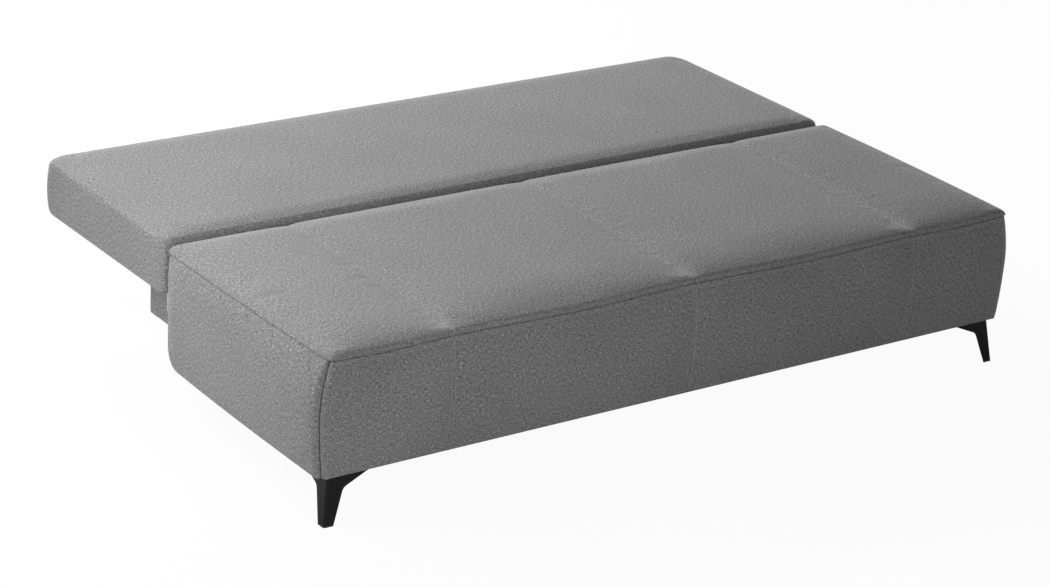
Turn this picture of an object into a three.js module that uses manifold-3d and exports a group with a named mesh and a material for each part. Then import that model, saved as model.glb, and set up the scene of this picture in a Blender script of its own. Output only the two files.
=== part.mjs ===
// Sofa bed: a seat hood on two angle legs, a bedding chest and a back that folds flat on toothed hinges
import * as THREE from "three";
import { mergeVertices } from "three/addons/utils/BufferGeometryUtils.js";
import Module from "manifold-3d";

const wasm = await Module();
wasm.setup();

// Overall sizes in millimetres: X along the sofa, Y from the seat's front to the rear, Z up
const bodyWidth = 2000; // between the end seams
const seatDepth = 723;
const seamHeight = 400; // floor to the seam round the seat's top
const crown = 21; // top of the cushions above that seam
const underside = 123; // floor to the bottom edge of the seat hood
const backDepth = 648;
const backThickness = 149;
const foldGap = 12; // between seat and back when the bed is flat

// Clearances and overruns
const seatingGap = 0.3; // between pieces that touch
const runningGap = 1; // between plates that turn past each other
const boreGap = 0.5; // round a pin or tube in its bore
const mitreGap = 1.8; // between the front and end panels behind their seam
const cutOver = 5; // how far a cutting tool runs past the face that it cuts

// Upholstery
const panelThickness = 45; // padded front and end panels of the hood
const rearPanelThickness = 16;
const rearPanelBelowFrame = 8;
const panelBulge = 8; // how far the front panel swells between its seams
const endBow = 14; // how far the hood's ends swell out between the seam and the lower edge
const rearBowShare = 0.5; // of that swell at the hood's rear
const cornerGather = 12; // depth of the seams that join the front and end panels
const seatRearCorner = 30; // plan radius of the seat's rear corners
const seatFrontCorner = 16;
const rearLowCorner = 46; // radius of the end panels' lower rear corners
const channelSpacing = 680; // between the sewn channels that run front to rear
const channelDepth = 10;
const channelHalfWidth = 34;
const panelSeamDepth = 7; // dip of a channel's seam on the front panel
const panelSeamHalfWidth = 22;
const foamDepth = 70; // seat foam below the seam
const edgeRoll = 75; // run over which the crown rises from the rolled edge
const edgeLift = 17; // height of the rolled edge above the seam
const edgeTurn = 10; // how far the rolled edge turns in
const backEdgeRadius = 35; // edge of the back that faces the seat
const backEndRadius = 16; // its other edges
const backFrontCorner = 24; // plan radius of the back's corners beside the seat
const backRearCorner = 42;
const backCrown = 7; // swell of the back's top face
const backWall = 40; // padded sides round the back's frame
const backRecess = 58; // depth of the frame's space under the back's foam

// Wooden frames
const railThickness = 28;
const seatRailHeight = 60;
const rearRailFromPanel = 47; // keeps the seat's rear rail ahead of the seat hinges
const backRailThickness = 25;
const backRailFromEdge = 116; // keeps the back's front rail behind the swing arms
const baseBoardThickness = 6;
const baseBoardRecess = 2;

// Wave springs
const wireRadius = 2;
const waveAmplitude = 24;
const waveCount = 9; // half waves along one spring
const springCount = 9;
const springBelowFoam = 0.5;
const wireSides = 4;
const crossWireShares = [1 / 3, 2 / 3]; // places of the wires that tie the springs, along them

// Bedding chest
const chestInset = 100; // from the end seams to the chest's ends
const chestFront = 55; // from the seat's front seam to the chest's front
const chestUnderBack = 265; // how far the chest reaches in under the flat back
const bufferHeight = 24; // from the chest walls up to the flat back
const chestBoard = 16;
const chestFloorBoard = 8;
const chestCornerRadius = 7;
const footSide = 62;
const footTaper = 8;
const footInset = 40; // from the chest's outer corner to the foot
const frontFootSetBack = 250; // of the front feet, out of sight under the hood
const bufferRadius = 11;
const bufferTopShare = 0.8; // of the buffer's radius at its top
const bufferFromEnd = 190;

// Angle legs of folded sheet steel
const legSheet = 3;
const legInset = 16; // of the fold's top from the hood's corner, each way
const legSplay = 18; // how far the foot stands out from under the fold's top, each way
const legWingTop = 126; // length of a wing under the hood
const legKneeOut = 43; // wing's width where its taper meets the post
const legKneeDrop = 40;
const legKneeRound = 9; // run of the rounded knee along each side
const legFootWidth = 25;
const legFoldRadius = 6;
const glideHeight = 4;
const glideOverhang = 0.4;

// Fold mechanism: swing arms on the chest carry the back on toothed discs
const armPivotBehind = 90; // from the back's pivot to the arm's pivot on the chest
const armPivotBelowTop = 23; // below the chest walls' top
const backPivotFromEdge = 33; // from the back's front edge
const backPivotBelowTop = 71;
const plateThickness = 6;
const armHalfWidth = 13;
const armEyeRadius = 17;
const syncTubeRadius = 11;
const syncTubeWall = 2;
const discRadius = 26;
const toothDepth = 4;
const toothPitch = 22; // degrees between two notches
const notchCount = 5;
const notchFloorShare = 0.12; // of the pitch, to each side of a notch's middle
const notchRampShare = 0.3; // of the pitch, from a notch's middle to the top of its long flank
const notchStopShare = 0.2; // the same to the top of its steep flank
const firstNotchAngle = 28; // degrees from the arm's line to the pawl's tip
const pivotPinRadius = 7;
const pinHeadRadius = 11;
const pinHeadHeight = 3;
const strapHalfWidth = 13;
const strapRise = 3; // strap's centre line above the pivot
const strapTailWidth = 36;
const strapTailGap = 4; // behind the back's front rail
const strapTailDrop = 60; // of the tail below the strap
const pawlPivotReach = 47; // from the back's pivot along the arm
const pawlEyeRadius = 8;
const pawlTipClearance = 1.3; // of the raised pawl's tip over the teeth
const pawlTail = 17;
const pawlTipHalfWidth = 2.2;
const pawlPinRadius = 3.5;
const basePlateHalfLength = 46;
const basePlateHeight = 84;
const basePlateTopGap = 3; // below the chest walls' top
const boltRadius = 4;
const boltHeadRadius = 8;
const boltInset = 14;
const slotSideGap = 6; // beside the plates in the back's slots
const slotTopGap = 4;

// Seat hinges, on which the seat lifts for the chest
const seatPivotFromRear = 33;
const seatPivotBelowSeam = 5;
const hingeEyeRadius = 12;
const hingePinRadius = 5;
const hingePinHeadRadius = 8;
const hingePinHeadHeight = 1.5;
const leafFlangeWidth = 42;
const leafFlangeHeight = 50;
const hingeSlotSideGap = 4;

const curveSegments = 10;
const roundSides = 20;
const fullTurn = 360;

// Levels and places that follow from the sizes
const halfWidth = bodyWidth / 2;
const topZ = seamHeight + crown;
const foamBottom = seamHeight - foamDepth;
const frameBottom = foamBottom - seatRailHeight;
const backFront = seatDepth + foldGap;
const backRear = backFront + backDepth;
const backBottom = topZ - backThickness;
const recessTop = backBottom + backRecess;
const chestHalf = halfWidth - chestInset;
const chestRear = backFront + chestUnderBack;
const chestTop = backBottom - bufferHeight;
const backPivot = new THREE.Vector2(backFront + backPivotFromEdge, topZ - backPivotBelowTop);
const armPivot = new THREE.Vector2(backPivot.x + armPivotBehind, chestTop - armPivotBelowTop);
const seatPivot = new THREE.Vector2(seatDepth - seatPivotFromRear, seamHeight - seatPivotBelowSeam);
const basePlateX = chestHalf + seatingGap;
const armX = basePlateX + plateThickness + runningGap;
const discX = armX + plateThickness + runningGap;
const backRailX = discX + plateThickness + seatingGap;
const postX = chestHalf - chestBoard - seatingGap - plateThickness;
const leafX = postX - runningGap - plateThickness;
const armLine = armPivot.clone().sub(backPivot);
const armAngle = Math.atan2(armLine.y, armLine.x);
const middleY = (backRear - panelBulge) / 2;
const channelPlaces = [-channelSpacing, 0, channelSpacing];
const endZone = panelThickness * 3; // of a padded piece, in which its ends are drawn in
const panelHeight = seamHeight - seatingGap - underside;
const seatRailTop = foamBottom - seatingGap;
const frameHalf = halfWidth - panelThickness - seatingGap;
const frameFront = panelThickness + seatingGap;
const seatFrontRailRear = frameFront + railThickness;
const seatRearRailFront = seatDepth - rearPanelThickness - rearRailFromPanel - railThickness;
const backRailTop = recessTop - seatingGap;
const backFrontRailFront = backFront + backRailFromEdge;
const backFrontRailRear = backFrontRailFront + backRailThickness;
const backInnerRear = backRear - backWall - seatingGap;
const backRearRailFront = backInnerRear - backRailThickness;
const strapRear = backFrontRailRear + strapTailGap + strapTailWidth;

// Finishes
const finishes = {
  fabric: { color: 0x85878b, roughness: 0.95, metalness: 0 },
  lining: { color: 0xa9abae, roughness: 0.95, metalness: 0 },
  wood: { color: 0xb99a6b, roughness: 0.75, metalness: 0 },
  board: { color: 0x9b8260, roughness: 0.8, metalness: 0 },
  powderCoat: { color: 0x17181a, roughness: 0.45, metalness: 0.3 },
  zinc: { color: 0xaeb2b6, roughness: 0.4, metalness: 0.9 },
  springWire: { color: 0x6f7377, roughness: 0.45, metalness: 0.9 },
  plastic: { color: 0x1c1c1e, roughness: 0.6, metalness: 0 },
  rubber: { color: 0x222224, roughness: 0.85, metalness: 0 },
};

const sofaBed = new THREE.Group();
sofaBed.position.y = -middleY;

function add(name, geometry, finish, parent = sofaBed) {
  const mesh = new THREE.Mesh(geometry, new THREE.MeshStandardMaterial(finishes[finish]));
  mesh.name = name;
  parent.add(mesh);
  return mesh;
}

// Solids for joining and cutting
function solidOf(geometry) {
  const bare = geometry.clone();
  bare.deleteAttribute("normal");
  bare.deleteAttribute("uv");
  const merged = mergeVertices(bare, 1e-3);
  return new wasm.Manifold(
    new wasm.Mesh({
      numProp: 3,
      vertProperties: merged.getAttribute("position").array,
      triVerts: new Uint32Array(merged.index.array),
    }),
  );
}

function geometryOf(solid) {
  const mesh = solid.getMesh();
  const geometry = new THREE.BufferGeometry();
  geometry.setAttribute("position", new THREE.BufferAttribute(mesh.vertProperties, mesh.numProp));
  geometry.setIndex(new THREE.BufferAttribute(mesh.triVerts, 1));
  geometry.computeVertexNormals();
  return geometry;
}

function joined(...geometries) {
  return geometryOf(geometries.map(solidOf).reduce((all, next) => all.add(next)));
}

function cut(geometry, ...tools) {
  return geometryOf(tools.map(solidOf).reduce((left, tool) => left.subtract(tool), solidOf(geometry)));
}

// Basic shapes
function block(x0, x1, y0, y1, z0, z1) {
  const geometry = new THREE.BoxGeometry(x1 - x0, y1 - y0, z1 - z0);
  return geometry.translate((x0 + x1) / 2, (y0 + y1) / 2, (z0 + z1) / 2);
}

// A rod or disc along X
function rod(radius, x0, x1, y, z, sides = roundSides) {
  const geometry = new THREE.CylinderGeometry(radius, radius, x1 - x0, sides);
  return geometry.rotateZ(Math.PI / 2).translate((x0 + x1) / 2, y, z);
}

// A sheet cut to an outline in the Y-Z plane, its thickness along +X from x0
function sidePlate(shape, x0, thickness) {
  const geometry = new THREE.ExtrudeGeometry(shape, { depth: thickness, bevelEnabled: false, curveSegments });
  const turn = new THREE.Matrix4().makeBasis(
    new THREE.Vector3(0, 1, 0),
    new THREE.Vector3(0, 0, 1),
    new THREE.Vector3(1, 0, 0),
  );
  return geometry.applyMatrix4(turn).translate(x0, 0, 0);
}

function circleHole(centre, radius) {
  const path = new THREE.Path();
  path.absarc(centre.x, centre.y, radius, 0, Math.PI * 2, true);
  return path;
}

function roundedOutline(x0, x1, y0, y1, radius) {
  const shape = new THREE.Shape();
  shape.moveTo(x0 + radius, y0);
  shape.lineTo(x1 - radius, y0);
  shape.absarc(x1 - radius, y0 + radius, radius, -Math.PI / 2, 0);
  shape.lineTo(x1, y1 - radius);
  shape.absarc(x1 - radius, y1 - radius, radius, 0, Math.PI / 2);
  shape.lineTo(x0 + radius, y1);
  shape.absarc(x0 + radius, y1 - radius, radius, Math.PI / 2, Math.PI);
  shape.lineTo(x0, y0 + radius);
  shape.absarc(x0 + radius, y0 + radius, radius, Math.PI, Math.PI * 1.5);
  return shape;
}

// The outline of a link: two round eyes joined by straight sides that touch them
function linkOutline(from, to, fromRadius, toRadius) {
  const angle = Math.atan2(to.y - from.y, to.x - from.x);
  const lean = Math.acos((fromRadius - toRadius) / from.distanceTo(to));
  const shape = new THREE.Shape();
  shape.absarc(to.x, to.y, toRadius, angle - lean, angle + lean);
  shape.absarc(from.x, from.y, fromRadius, angle + lean, angle - lean + Math.PI * 2);
  return shape;
}

// The same geometry mirrored to the other end of the sofa
function mirrored(geometry) {
  const copy = geometry.clone().applyMatrix4(new THREE.Matrix4().makeScale(-1, 1, 1));
  const index = copy.index ?? new THREE.BufferAttribute(
    Uint32Array.from({ length: copy.getAttribute("position").count }, (_, i) => i),
    1,
  );
  const turned = Array.from(index.array);
  for (let i = 0; i < turned.length; i += 3) {
    [turned[i + 1], turned[i + 2]] = [turned[i + 2], turned[i + 1]];
  }
  copy.setIndex(turned);
  return copy;
}

function addPair(name, geometry, finish) {
  add(`${name}_right`, geometry, finish);
  add(`${name}_left`, mirrored(geometry), finish);
}

// Shares along a side: close at both ends, and close round each sewn seam
function stationShares(length, endSteps, seams, seamSteps, innerCount) {
  const places = new Set([0, length]);
  for (const step of endSteps) {
    places.add(step);
    places.add(length - step);
  }
  for (const seam of seams) {
    places.add(seam);
    for (const step of seamSteps) {
      places.add(seam - step);
      places.add(seam + step);
    }
  }
  const fixed = [...places].sort((a, b) => a - b);
  const all = [];
  fixed.forEach((place, i) => {
    all.push(place);
    if (i + 1 === fixed.length) return;
    const span = fixed[i + 1] - place;
    const extra = Math.round((span / length) * innerCount);
    for (let k = 1; k <= extra; k++) all.push(place + (span * k) / (extra + 1));
  });
  return all.map((place) => place / length);
}

// Bends the corners of an outline round; radii go round from the corner with low x and low y
function roundedPlace(x, y, { x0, x1, y0, y1 }, radii) {
  const right = x > (x0 + x1) / 2;
  const high = y > (y0 + y1) / 2;
  const lowRadius = right ? radii[1] : radii[0];
  const highRadius = right ? radii[2] : radii[3];
  const radius = high ? highRadius : lowRadius;
  const centreX = right ? x1 - radius : x0 + radius;
  const centreY = high ? y1 - radius : y0 + radius;
  const awayX = x - centreX;
  const awayY = y - centreY;
  if (awayX * (right ? 1 : -1) <= 0 || awayY * (high ? 1 : -1) <= 0) return [x, y];
  const shrink = Math.max(Math.abs(awayX), Math.abs(awayY)) / Math.hypot(awayX, awayY);
  return [centreX + awayX * shrink, centreY + awayY * shrink];
}

// A place along a side whose two ends stand in by their insets: only the end zones are drawn in
function drawnIn(along, length, atStart, atEnd) {
  const startShare = Math.max(1 - along / endZone, 0);
  const endShare = Math.max(1 - (length - along) / endZone, 0);
  return along + atStart * startShare - atEnd * endShare;
}

// A padded block: levels give its height and how far its outline stands in, lift shapes its top
// and settle draws every point down
function paddedBlock({ x0, x1, y0, y1, xShares, yShares, levels, lift, settle = (x, y, z) => z }) {
  const counts = [xShares.length - 1, yShares.length - 1, levels.length - 1];
  const geometry = new THREE.BoxGeometry(1, 1, 1, ...counts);
  const position = geometry.getAttribute("position");
  for (let n = 0; n < position.count; n++) {
    const i = Math.round((position.getX(n) + 0.5) * counts[0]);
    const j = Math.round((position.getY(n) + 0.5) * counts[1]);
    const k = Math.round((position.getZ(n) + 0.5) * counts[2]);
    const { z, left, right, front, rear, corners } = levels[k];
    const sides = { x0: x0 + left, x1: x1 - right, y0: y0 + front, y1: y1 - rear };
    const plainX = x0 + drawnIn(xShares[i] * (x1 - x0), x1 - x0, left, right);
    const plainY = y0 + drawnIn(yShares[j] * (y1 - y0), y1 - y0, front, rear);
    const rise = k === counts[2] ? lift(plainX, plainY) : 0;
    const [x, y] = corners ? roundedPlace(plainX, plainY, sides, corners) : [plainX, plainY];
    position.setXYZ(n, x, y, settle(x, y, z + rise));
  }
  geometry.computeVertexNormals();
  return geometry;
}

function evenInset(inset) {
  return { left: inset, right: inset, front: inset, rear: inset };
}

// Angles, in degrees, at which a quarter-round edge has its lines
const quarterSteps = [0, 30, 60, 90];

// Rise and inset of a quarter-round edge, as shares of its height and its turn
function quarterShares(degrees) {
  const angle = THREE.MathUtils.degToRad(degrees);
  return { rise: Math.sin(angle), inset: 1 - Math.cos(angle) };
}

// The dip of the sewn seams beside a place along the sofa
function seamDip(x, depth, reach) {
  return channelPlaces.reduce((dip, place) => {
    const far = (x - place) / reach;
    return dip + depth * Math.exp(-far * far);
  }, 0);
}

// Rise of a rolled edge at a distance from the seam
function edgeRise(distance, run, height) {
  return height * Math.sqrt(1 - Math.pow(1 - Math.min(distance / run, 1), 2));
}

// Seat cushion with a rolled edge, a crown and channels, its foam inside the hood's panels
function seatCushion() {
  const innerSide = panelThickness + seatingGap;
  const inside = { ...evenInset(innerSide), rear: rearPanelThickness + seatingGap };
  const corners = [seatFrontCorner, seatFrontCorner, seatRearCorner, seatRearCorner];
  const rolled = quarterSteps.map((degrees) => {
    const { rise, inset } = quarterShares(degrees);
    return { z: seamHeight + edgeLift * rise, ...evenInset(edgeTurn * inset), corners };
  });
  const lift = (x, y) => {
    const edge = Math.min(halfWidth - Math.abs(x), y, seatDepth - y) - edgeTurn;
    return edgeRise(Math.max(edge, 0), edgeRoll, crown - edgeLift);
  };
  const channelShare = channelDepth / crown;
  const settle = (x, y, z) => z - Math.max(z - seamHeight, 0) * seamDip(x, channelShare, channelHalfWidth);
  const seams = channelPlaces.map((place) => place + halfWidth);
  const endSteps = [seatRearCorner / 2, seatRearCorner, edgeRoll];
  return paddedBlock({
    x0: -halfWidth,
    x1: halfWidth,
    y0: 0,
    y1: seatDepth,
    xShares: stationShares(bodyWidth, endSteps, seams, stepsBeside(channelHalfWidth), 6),
    yShares: stationShares(seatDepth, endSteps, [], [], 4),
    levels: [{ z: foamBottom, ...inside }, { z: seamHeight, ...inside }, ...rolled],
    lift,
    settle,
  });
}

// Distances beside a sewn seam at which a padded face has its lines
const besideSeamShares = [1 / 2, 8 / 5];

function stepsBeside(halfWidthOfSeam) {
  return besideSeamShares.map((share) => share * halfWidthOfSeam);
}

// A panel's end where it meets its neighbour in a gathered seam, mitred behind it
function gatheredEnd(below) {
  if (below >= cornerGather) return below;
  return cornerGather + quarterTurn(below, cornerGather);
}

// A panel's end that is turned round the hood's rear corner
function rearEnd(below) {
  return below >= seatRearCorner ? 0 : quarterTurn(below, seatRearCorner);
}

// How far a quarter-round edge has turned in at a depth below its face
function quarterTurn(below, radius) {
  return radius - Math.sqrt(radius * radius - Math.pow(radius - below, 2));
}

// A padded panel lying on its back: its face swells and, on the front, dips at the channels
function paddedPanel({ length, leftEnd, rightEnd, bulge, seams, corners }) {
  const endSteps = [rearLowCorner / 2, rearLowCorner, endZone];
  const depths = quarterSteps.map((degrees) => cornerGather * (1 - quarterShares(degrees).rise));
  const levels = [panelThickness, ...depths].map((below) => ({
    z: panelThickness - below,
    left: leftEnd(below),
    right: rightEnd(below),
    front: 0,
    rear: 0,
    corners,
  }));
  const lift = (x, y) => {
    const fromEnd = Math.min(x - leftEnd(0), length - rightEnd(0) - x);
    const taper = Math.min(Math.max(fromEnd, 0) / panelThickness, 1);
    return bulge * swellShare(y) * taper;
  };
  const settle = (x, y, z) => {
    if (seams.length === 0) return z;
    const share = Math.min(Math.max(1 + (z - panelThickness) / cornerGather, 0), 1);
    return z - share * seamDip(x - length / 2, panelSeamDepth, panelSeamHalfWidth);
  };
  return paddedBlock({
    x0: 0,
    x1: length,
    y0: 0,
    y1: panelHeight,
    xShares: stationShares(length, endSteps, seams, stepsBeside(panelSeamHalfWidth), 2),
    yShares: stationShares(panelHeight, [rearLowCorner / 2, rearLowCorner], [], [], 2),
    levels,
    lift,
    settle,
  });
}

// Share of a panel's swell at a height above its lower edge
function swellShare(up) {
  return 1 - Math.pow((2 * up) / panelHeight - 1, 2);
}

// Swells the hood's end out, the outer face most and the face towards the frame not at all
function bowedOut(geometry) {
  const position = geometry.getAttribute("position");
  for (let n = 0; n < position.count; n++) {
    const x = position.getX(n);
    const outward = Math.max(1 - (halfWidth - Math.abs(x)) / panelThickness, 0);
    const depthShare = 1 - (1 - rearBowShare) * (position.getY(n) / seatDepth);
    const swell = endBow * swellShare(position.getZ(n) - underside) * depthShare;
    position.setX(n, x + Math.sign(x) * swell * outward);
  }
  geometry.computeVertexNormals();
  return geometry;
}

// Stands a panel up: its length along lengthAxis and its padded face towards outAxis
function stood(geometry, lengthAxis, outAxis, place) {
  const turn = new THREE.Matrix4().makeBasis(lengthAxis, new THREE.Vector3(0, 0, 1), outAxis);
  return geometry.applyMatrix4(turn).translate(place.x, place.y, place.z);
}

function frontPanel() {
  const panel = paddedPanel({
    length: bodyWidth,
    leftEnd: gatheredEnd,
    rightEnd: gatheredEnd,
    bulge: panelBulge,
    seams: channelPlaces.map((place) => place + halfWidth),
  });
  const place = new THREE.Vector3(-halfWidth, panelThickness, underside);
  return bowedOut(stood(panel, new THREE.Vector3(1, 0, 0), new THREE.Vector3(0, -1, 0), place));
}

function endPanel() {
  const panel = paddedPanel({
    length: seatDepth,
    leftEnd: (below) => gatheredEnd(below) + mitreGap * Math.SQRT2,
    rightEnd: rearEnd,
    bulge: 0,
    seams: [],
    corners: [0, rearLowCorner, 0, 0],
  });
  const place = new THREE.Vector3(halfWidth - panelThickness, 0, underside);
  return bowedOut(stood(panel, new THREE.Vector3(0, 1, 0), new THREE.Vector3(1, 0, 0), place));
}

// Upright slots behind the hinge posts, which swing out there as the seat lifts
function hingeSlots(top) {
  const x0 = leafX - hingeSlotSideGap;
  const x1 = postX + plateThickness + hingeSlotSideGap;
  const slot = block(
    x0,
    x1,
    seatRearRailFront + railThickness - hingeSlotSideGap,
    seatDepth + cutOver,
    frameBottom - rearPanelBelowFrame - cutOver,
    top,
  );
  return [slot, mirrored(slot)];
}

function rearPanel() {
  const half = halfWidth - panelThickness - seatingGap;
  const y0 = seatDepth - rearPanelThickness;
  const z0 = frameBottom - rearPanelBelowFrame;
  const board = block(-half, half, y0, seatDepth, z0, seamHeight - seatingGap);
  return cut(board, ...hingeSlots(seatPivot.y - hingeEyeRadius / 2));
}

// Seat frame: four rails under the foam
function seatFrame() {
  const innerHalf = frameHalf - railThickness;
  const sideRear = seatDepth - rearPanelThickness - seatingGap;
  add(
    "seat_front_rail",
    block(-frameHalf, frameHalf, frameFront, seatFrontRailRear, frameBottom, seatRailTop),
    "wood",
  );
  addPair(
    "seat_end_rail",
    block(innerHalf, frameHalf, seatFrontRailRear + seatingGap, sideRear, frameBottom, seatRailTop),
    "wood",
  );
  const rearHalf = innerHalf - seatingGap;
  const rearRailRear = seatRearRailFront + railThickness;
  add(
    "seat_rear_rail",
    block(-rearHalf, rearHalf, seatRearRailFront, rearRailRear, frameBottom, seatRailTop),
    "wood",
  );
}

// Wave springs side by side, tied by two cross wires
function springMat(halfLength, y0, y1, z) {
  const reach = y1 - y0;
  const section = new THREE.Shape();
  for (let side = 0; side < wireSides; side++) {
    const angle = ((side + 0.5) * Math.PI * 2) / wireSides;
    const point = [wireRadius * Math.cos(angle), wireRadius * Math.sin(angle)];
    if (side === 0) section.moveTo(...point);
    else section.lineTo(...point);
  }
  section.closePath();
  const spacing = (halfLength * 2) / springCount;
  const wires = [];
  for (let n = 0; n < springCount; n++) {
    const middle = -halfLength + spacing * (n + 0.5);
    const straight = wireRadius * 4;
    const points = [new THREE.Vector3(middle, y0, z), new THREE.Vector3(middle, y0 + straight, z)];
    for (let wave = 0; wave < waveCount; wave++) {
      const side = wave % 2 ? -1 : 1;
      const y = y0 + (reach * (wave + 0.5)) / waveCount;
      points.push(new THREE.Vector3(middle + side * waveAmplitude, y, z));
    }
    points.push(new THREE.Vector3(middle, y1 - straight, z), new THREE.Vector3(middle, y1, z));
    const extrudePath = new THREE.CatmullRomCurve3(points, false, "catmullrom", 0.5);
    const options = { steps: waveCount * 3, extrudePath, bevelEnabled: false };
    wires.push(new THREE.ExtrudeGeometry(section, options));
  }
  for (const share of crossWireShares) {
    wires.push(rod(wireRadius, -halfLength, halfLength, y0 + reach * share, z, wireSides));
  }
  return joined(...wires);
}

// Front leg: an angle of folded sheet with two tapering wings and a top plate
function legOutline(outerHalf, front, wing, sheet, radius) {
  const shape = new THREE.Shape();
  shape.moveTo(outerHalf - wing, front);
  shape.lineTo(outerHalf - radius, front);
  shape.absarc(outerHalf - radius, front + radius, radius, -Math.PI / 2, 0);
  shape.lineTo(outerHalf, front + wing);
  shape.lineTo(outerHalf - sheet, front + wing);
  shape.lineTo(outerHalf - sheet, front + radius);
  shape.absarc(outerHalf - radius, front + radius, radius - sheet, 0, -Math.PI / 2, true);
  shape.lineTo(outerHalf - wing, front + sheet);
  shape.closePath();
  return shape;
}

function wingWaste(top, bottom) {
  const knee = new THREE.Vector2(legKneeOut, top - legKneeDrop);
  const wingEnd = new THREE.Vector2(legWingTop, top - legSheet);
  const foot = new THREE.Vector2(legFootWidth, bottom - cutOver);
  const towards = (end) => end.clone().sub(knee).setLength(legKneeRound).add(knee);
  const waste = new THREE.Shape();
  waste.moveTo(wingEnd.x, wingEnd.y);
  waste.lineTo(...towards(wingEnd).toArray());
  waste.quadraticCurveTo(knee.x, knee.y, ...towards(foot).toArray());
  waste.lineTo(foot.x, foot.y);
  waste.lineTo(wingEnd.x + cutOver, foot.y);
  waste.lineTo(wingEnd.x + cutOver, wingEnd.y);
  waste.closePath();
  return waste;
}

// Leans an upright leg out towards the hood's corner, its top staying in place
function splayed(geometry) {
  const top = underside - seatingGap;
  const position = geometry.getAttribute("position");
  for (let n = 0; n < position.count; n++) {
    const lean = legSplay * (1 - position.getZ(n) / top);
    position.setXY(n, position.getX(n) + lean, position.getY(n) - lean);
  }
  geometry.computeVertexNormals();
  return geometry;
}

function frontLeg() {
  const top = underside - seatingGap;
  const bottom = glideHeight + seatingGap;
  const outer = halfWidth - legInset;
  const options = { depth: top - bottom, bevelEnabled: false, curveSegments: curveSegments / 2 };
  const outline = legOutline(outer, legInset, legWingTop, legSheet, legFoldRadius);
  const upright = new THREE.ExtrudeGeometry(outline, options).translate(0, 0, bottom);
  const cutter = { ...options, depth: legSheet + 2 * cutOver };
  const frontWaste = new THREE.ExtrudeGeometry(wingWaste(top, bottom), cutter)
    .applyMatrix4(
      new THREE.Matrix4().makeBasis(
        new THREE.Vector3(-1, 0, 0),
        new THREE.Vector3(0, 0, 1),
        new THREE.Vector3(0, 1, 0),
      ),
    )
    .translate(outer, legInset - cutOver, 0);
  const sideWaste = sidePlate(wingWaste(top, bottom), outer - legSheet - cutOver, cutter.depth)
    .translate(0, legInset, 0);
  const plateSide = legWingTop - legSheet;
  const plate = new THREE.Shape();
  plate.moveTo(outer - legSheet, legInset + legSheet);
  plate.lineTo(outer - legSheet, legInset + plateSide);
  plate.lineTo(outer - plateSide, legInset + legSheet);
  plate.closePath();
  const topPlate = new THREE.ExtrudeGeometry(plate, { depth: legSheet, bevelEnabled: false })
    .translate(0, 0, top - legSheet);
  const wings = cut(upright, frontWaste, sideWaste);
  const inset = legSheet / 2;
  const overlapPlate = topPlate.clone().translate(inset, -inset, 0);
  return splayed(joined(wings, topPlate, overlapPlate));
}

function legGlide() {
  const grown = legFoldRadius + glideOverhang;
  const outline = legOutline(
    halfWidth - legInset + glideOverhang,
    legInset - glideOverhang,
    legFootWidth + glideOverhang * 2,
    legSheet + glideOverhang * 2,
    grown,
  );
  const options = { depth: glideHeight, bevelEnabled: false, curveSegments: curveSegments / 2 };
  return splayed(new THREE.ExtrudeGeometry(outline, options));
}

// Seat hinges: a post on the chest and an angled leaf on the seat's rear rail
function hingePost() {
  const z0 = underside + chestFloorBoard + seatingGap;
  const front = seatPivot.x - hingeEyeRadius * 2;
  const shape = new THREE.Shape();
  shape.moveTo(front, z0);
  shape.lineTo(seatPivot.x, z0);
  shape.absarc(seatPivot.x, seatPivot.y, hingeEyeRadius, -Math.PI / 2, Math.PI);
  shape.lineTo(front, seatPivot.y - hingeEyeRadius * 2);
  shape.closePath();
  shape.holes.push(circleHole(seatPivot, hingePinRadius + boreGap));
  return sidePlate(shape, postX, plateThickness);
}

function hingeLeaf() {
  const railRear = seatRearRailFront + railThickness + seatingGap;
  const top = seatRailTop - cutOver;
  const shape = new THREE.Shape();
  shape.moveTo(railRear, top - leafFlangeHeight);
  shape.lineTo(railRear + plateThickness, top - leafFlangeHeight);
  shape.lineTo(seatPivot.x + hingeEyeRadius, seatPivot.y);
  shape.absarc(seatPivot.x, seatPivot.y, hingeEyeRadius, 0, Math.PI);
  shape.lineTo(railRear, top);
  shape.closePath();
  shape.holes.push(circleHole(seatPivot, hingePinRadius + boreGap));
  const leaf = sidePlate(shape, leafX, plateThickness);
  const flange = block(
    leafX - leafFlangeWidth,
    leafX + plateThickness,
    railRear,
    railRear + plateThickness / 2,
    top - leafFlangeHeight,
    top,
  );
  return joined(leaf, flange);
}

function headedPin(radius, headRadius, headHeight, x0, x1, centre) {
  const profile = [
    new THREE.Vector2(0, x0),
    new THREE.Vector2(radius, x0),
    new THREE.Vector2(radius, x1),
    new THREE.Vector2(headRadius, x1),
    new THREE.Vector2(headRadius, x1 + headHeight),
    new THREE.Vector2(0, x1 + headHeight),
  ];
  const pin = new THREE.LatheGeometry(profile, roundSides);
  return pin.rotateZ(-Math.PI / 2).translate(0, centre.x, centre.y);
}

// Bedding chest: five boards on four feet
function chest() {
  const wallTop = chestTop;
  const innerHalf = chestHalf - chestBoard;
  const tubeHole = circleHole(armPivot, syncTubeRadius + boreGap);
  const end = roundedOutline(chestFront, chestRear, underside, wallTop, chestCornerRadius);
  end.holes.push(tubeHole);
  addPair("chest_end", sidePlate(end, innerHalf, chestBoard), "lining");
  const half = innerHalf - seatingGap;
  const board = (y0) => block(-half, half, y0, y0 + chestBoard, underside, wallTop);
  add("chest_front", board(chestFront), "lining");
  add("chest_rear", board(chestRear - chestBoard), "lining");
  add(
    "chest_floor",
    block(
      -half,
      half,
      chestFront + chestBoard + seatingGap,
      chestRear - chestBoard - seatingGap,
      underside,
      underside + chestFloorBoard,
    ),
    "board",
  );
}

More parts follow.
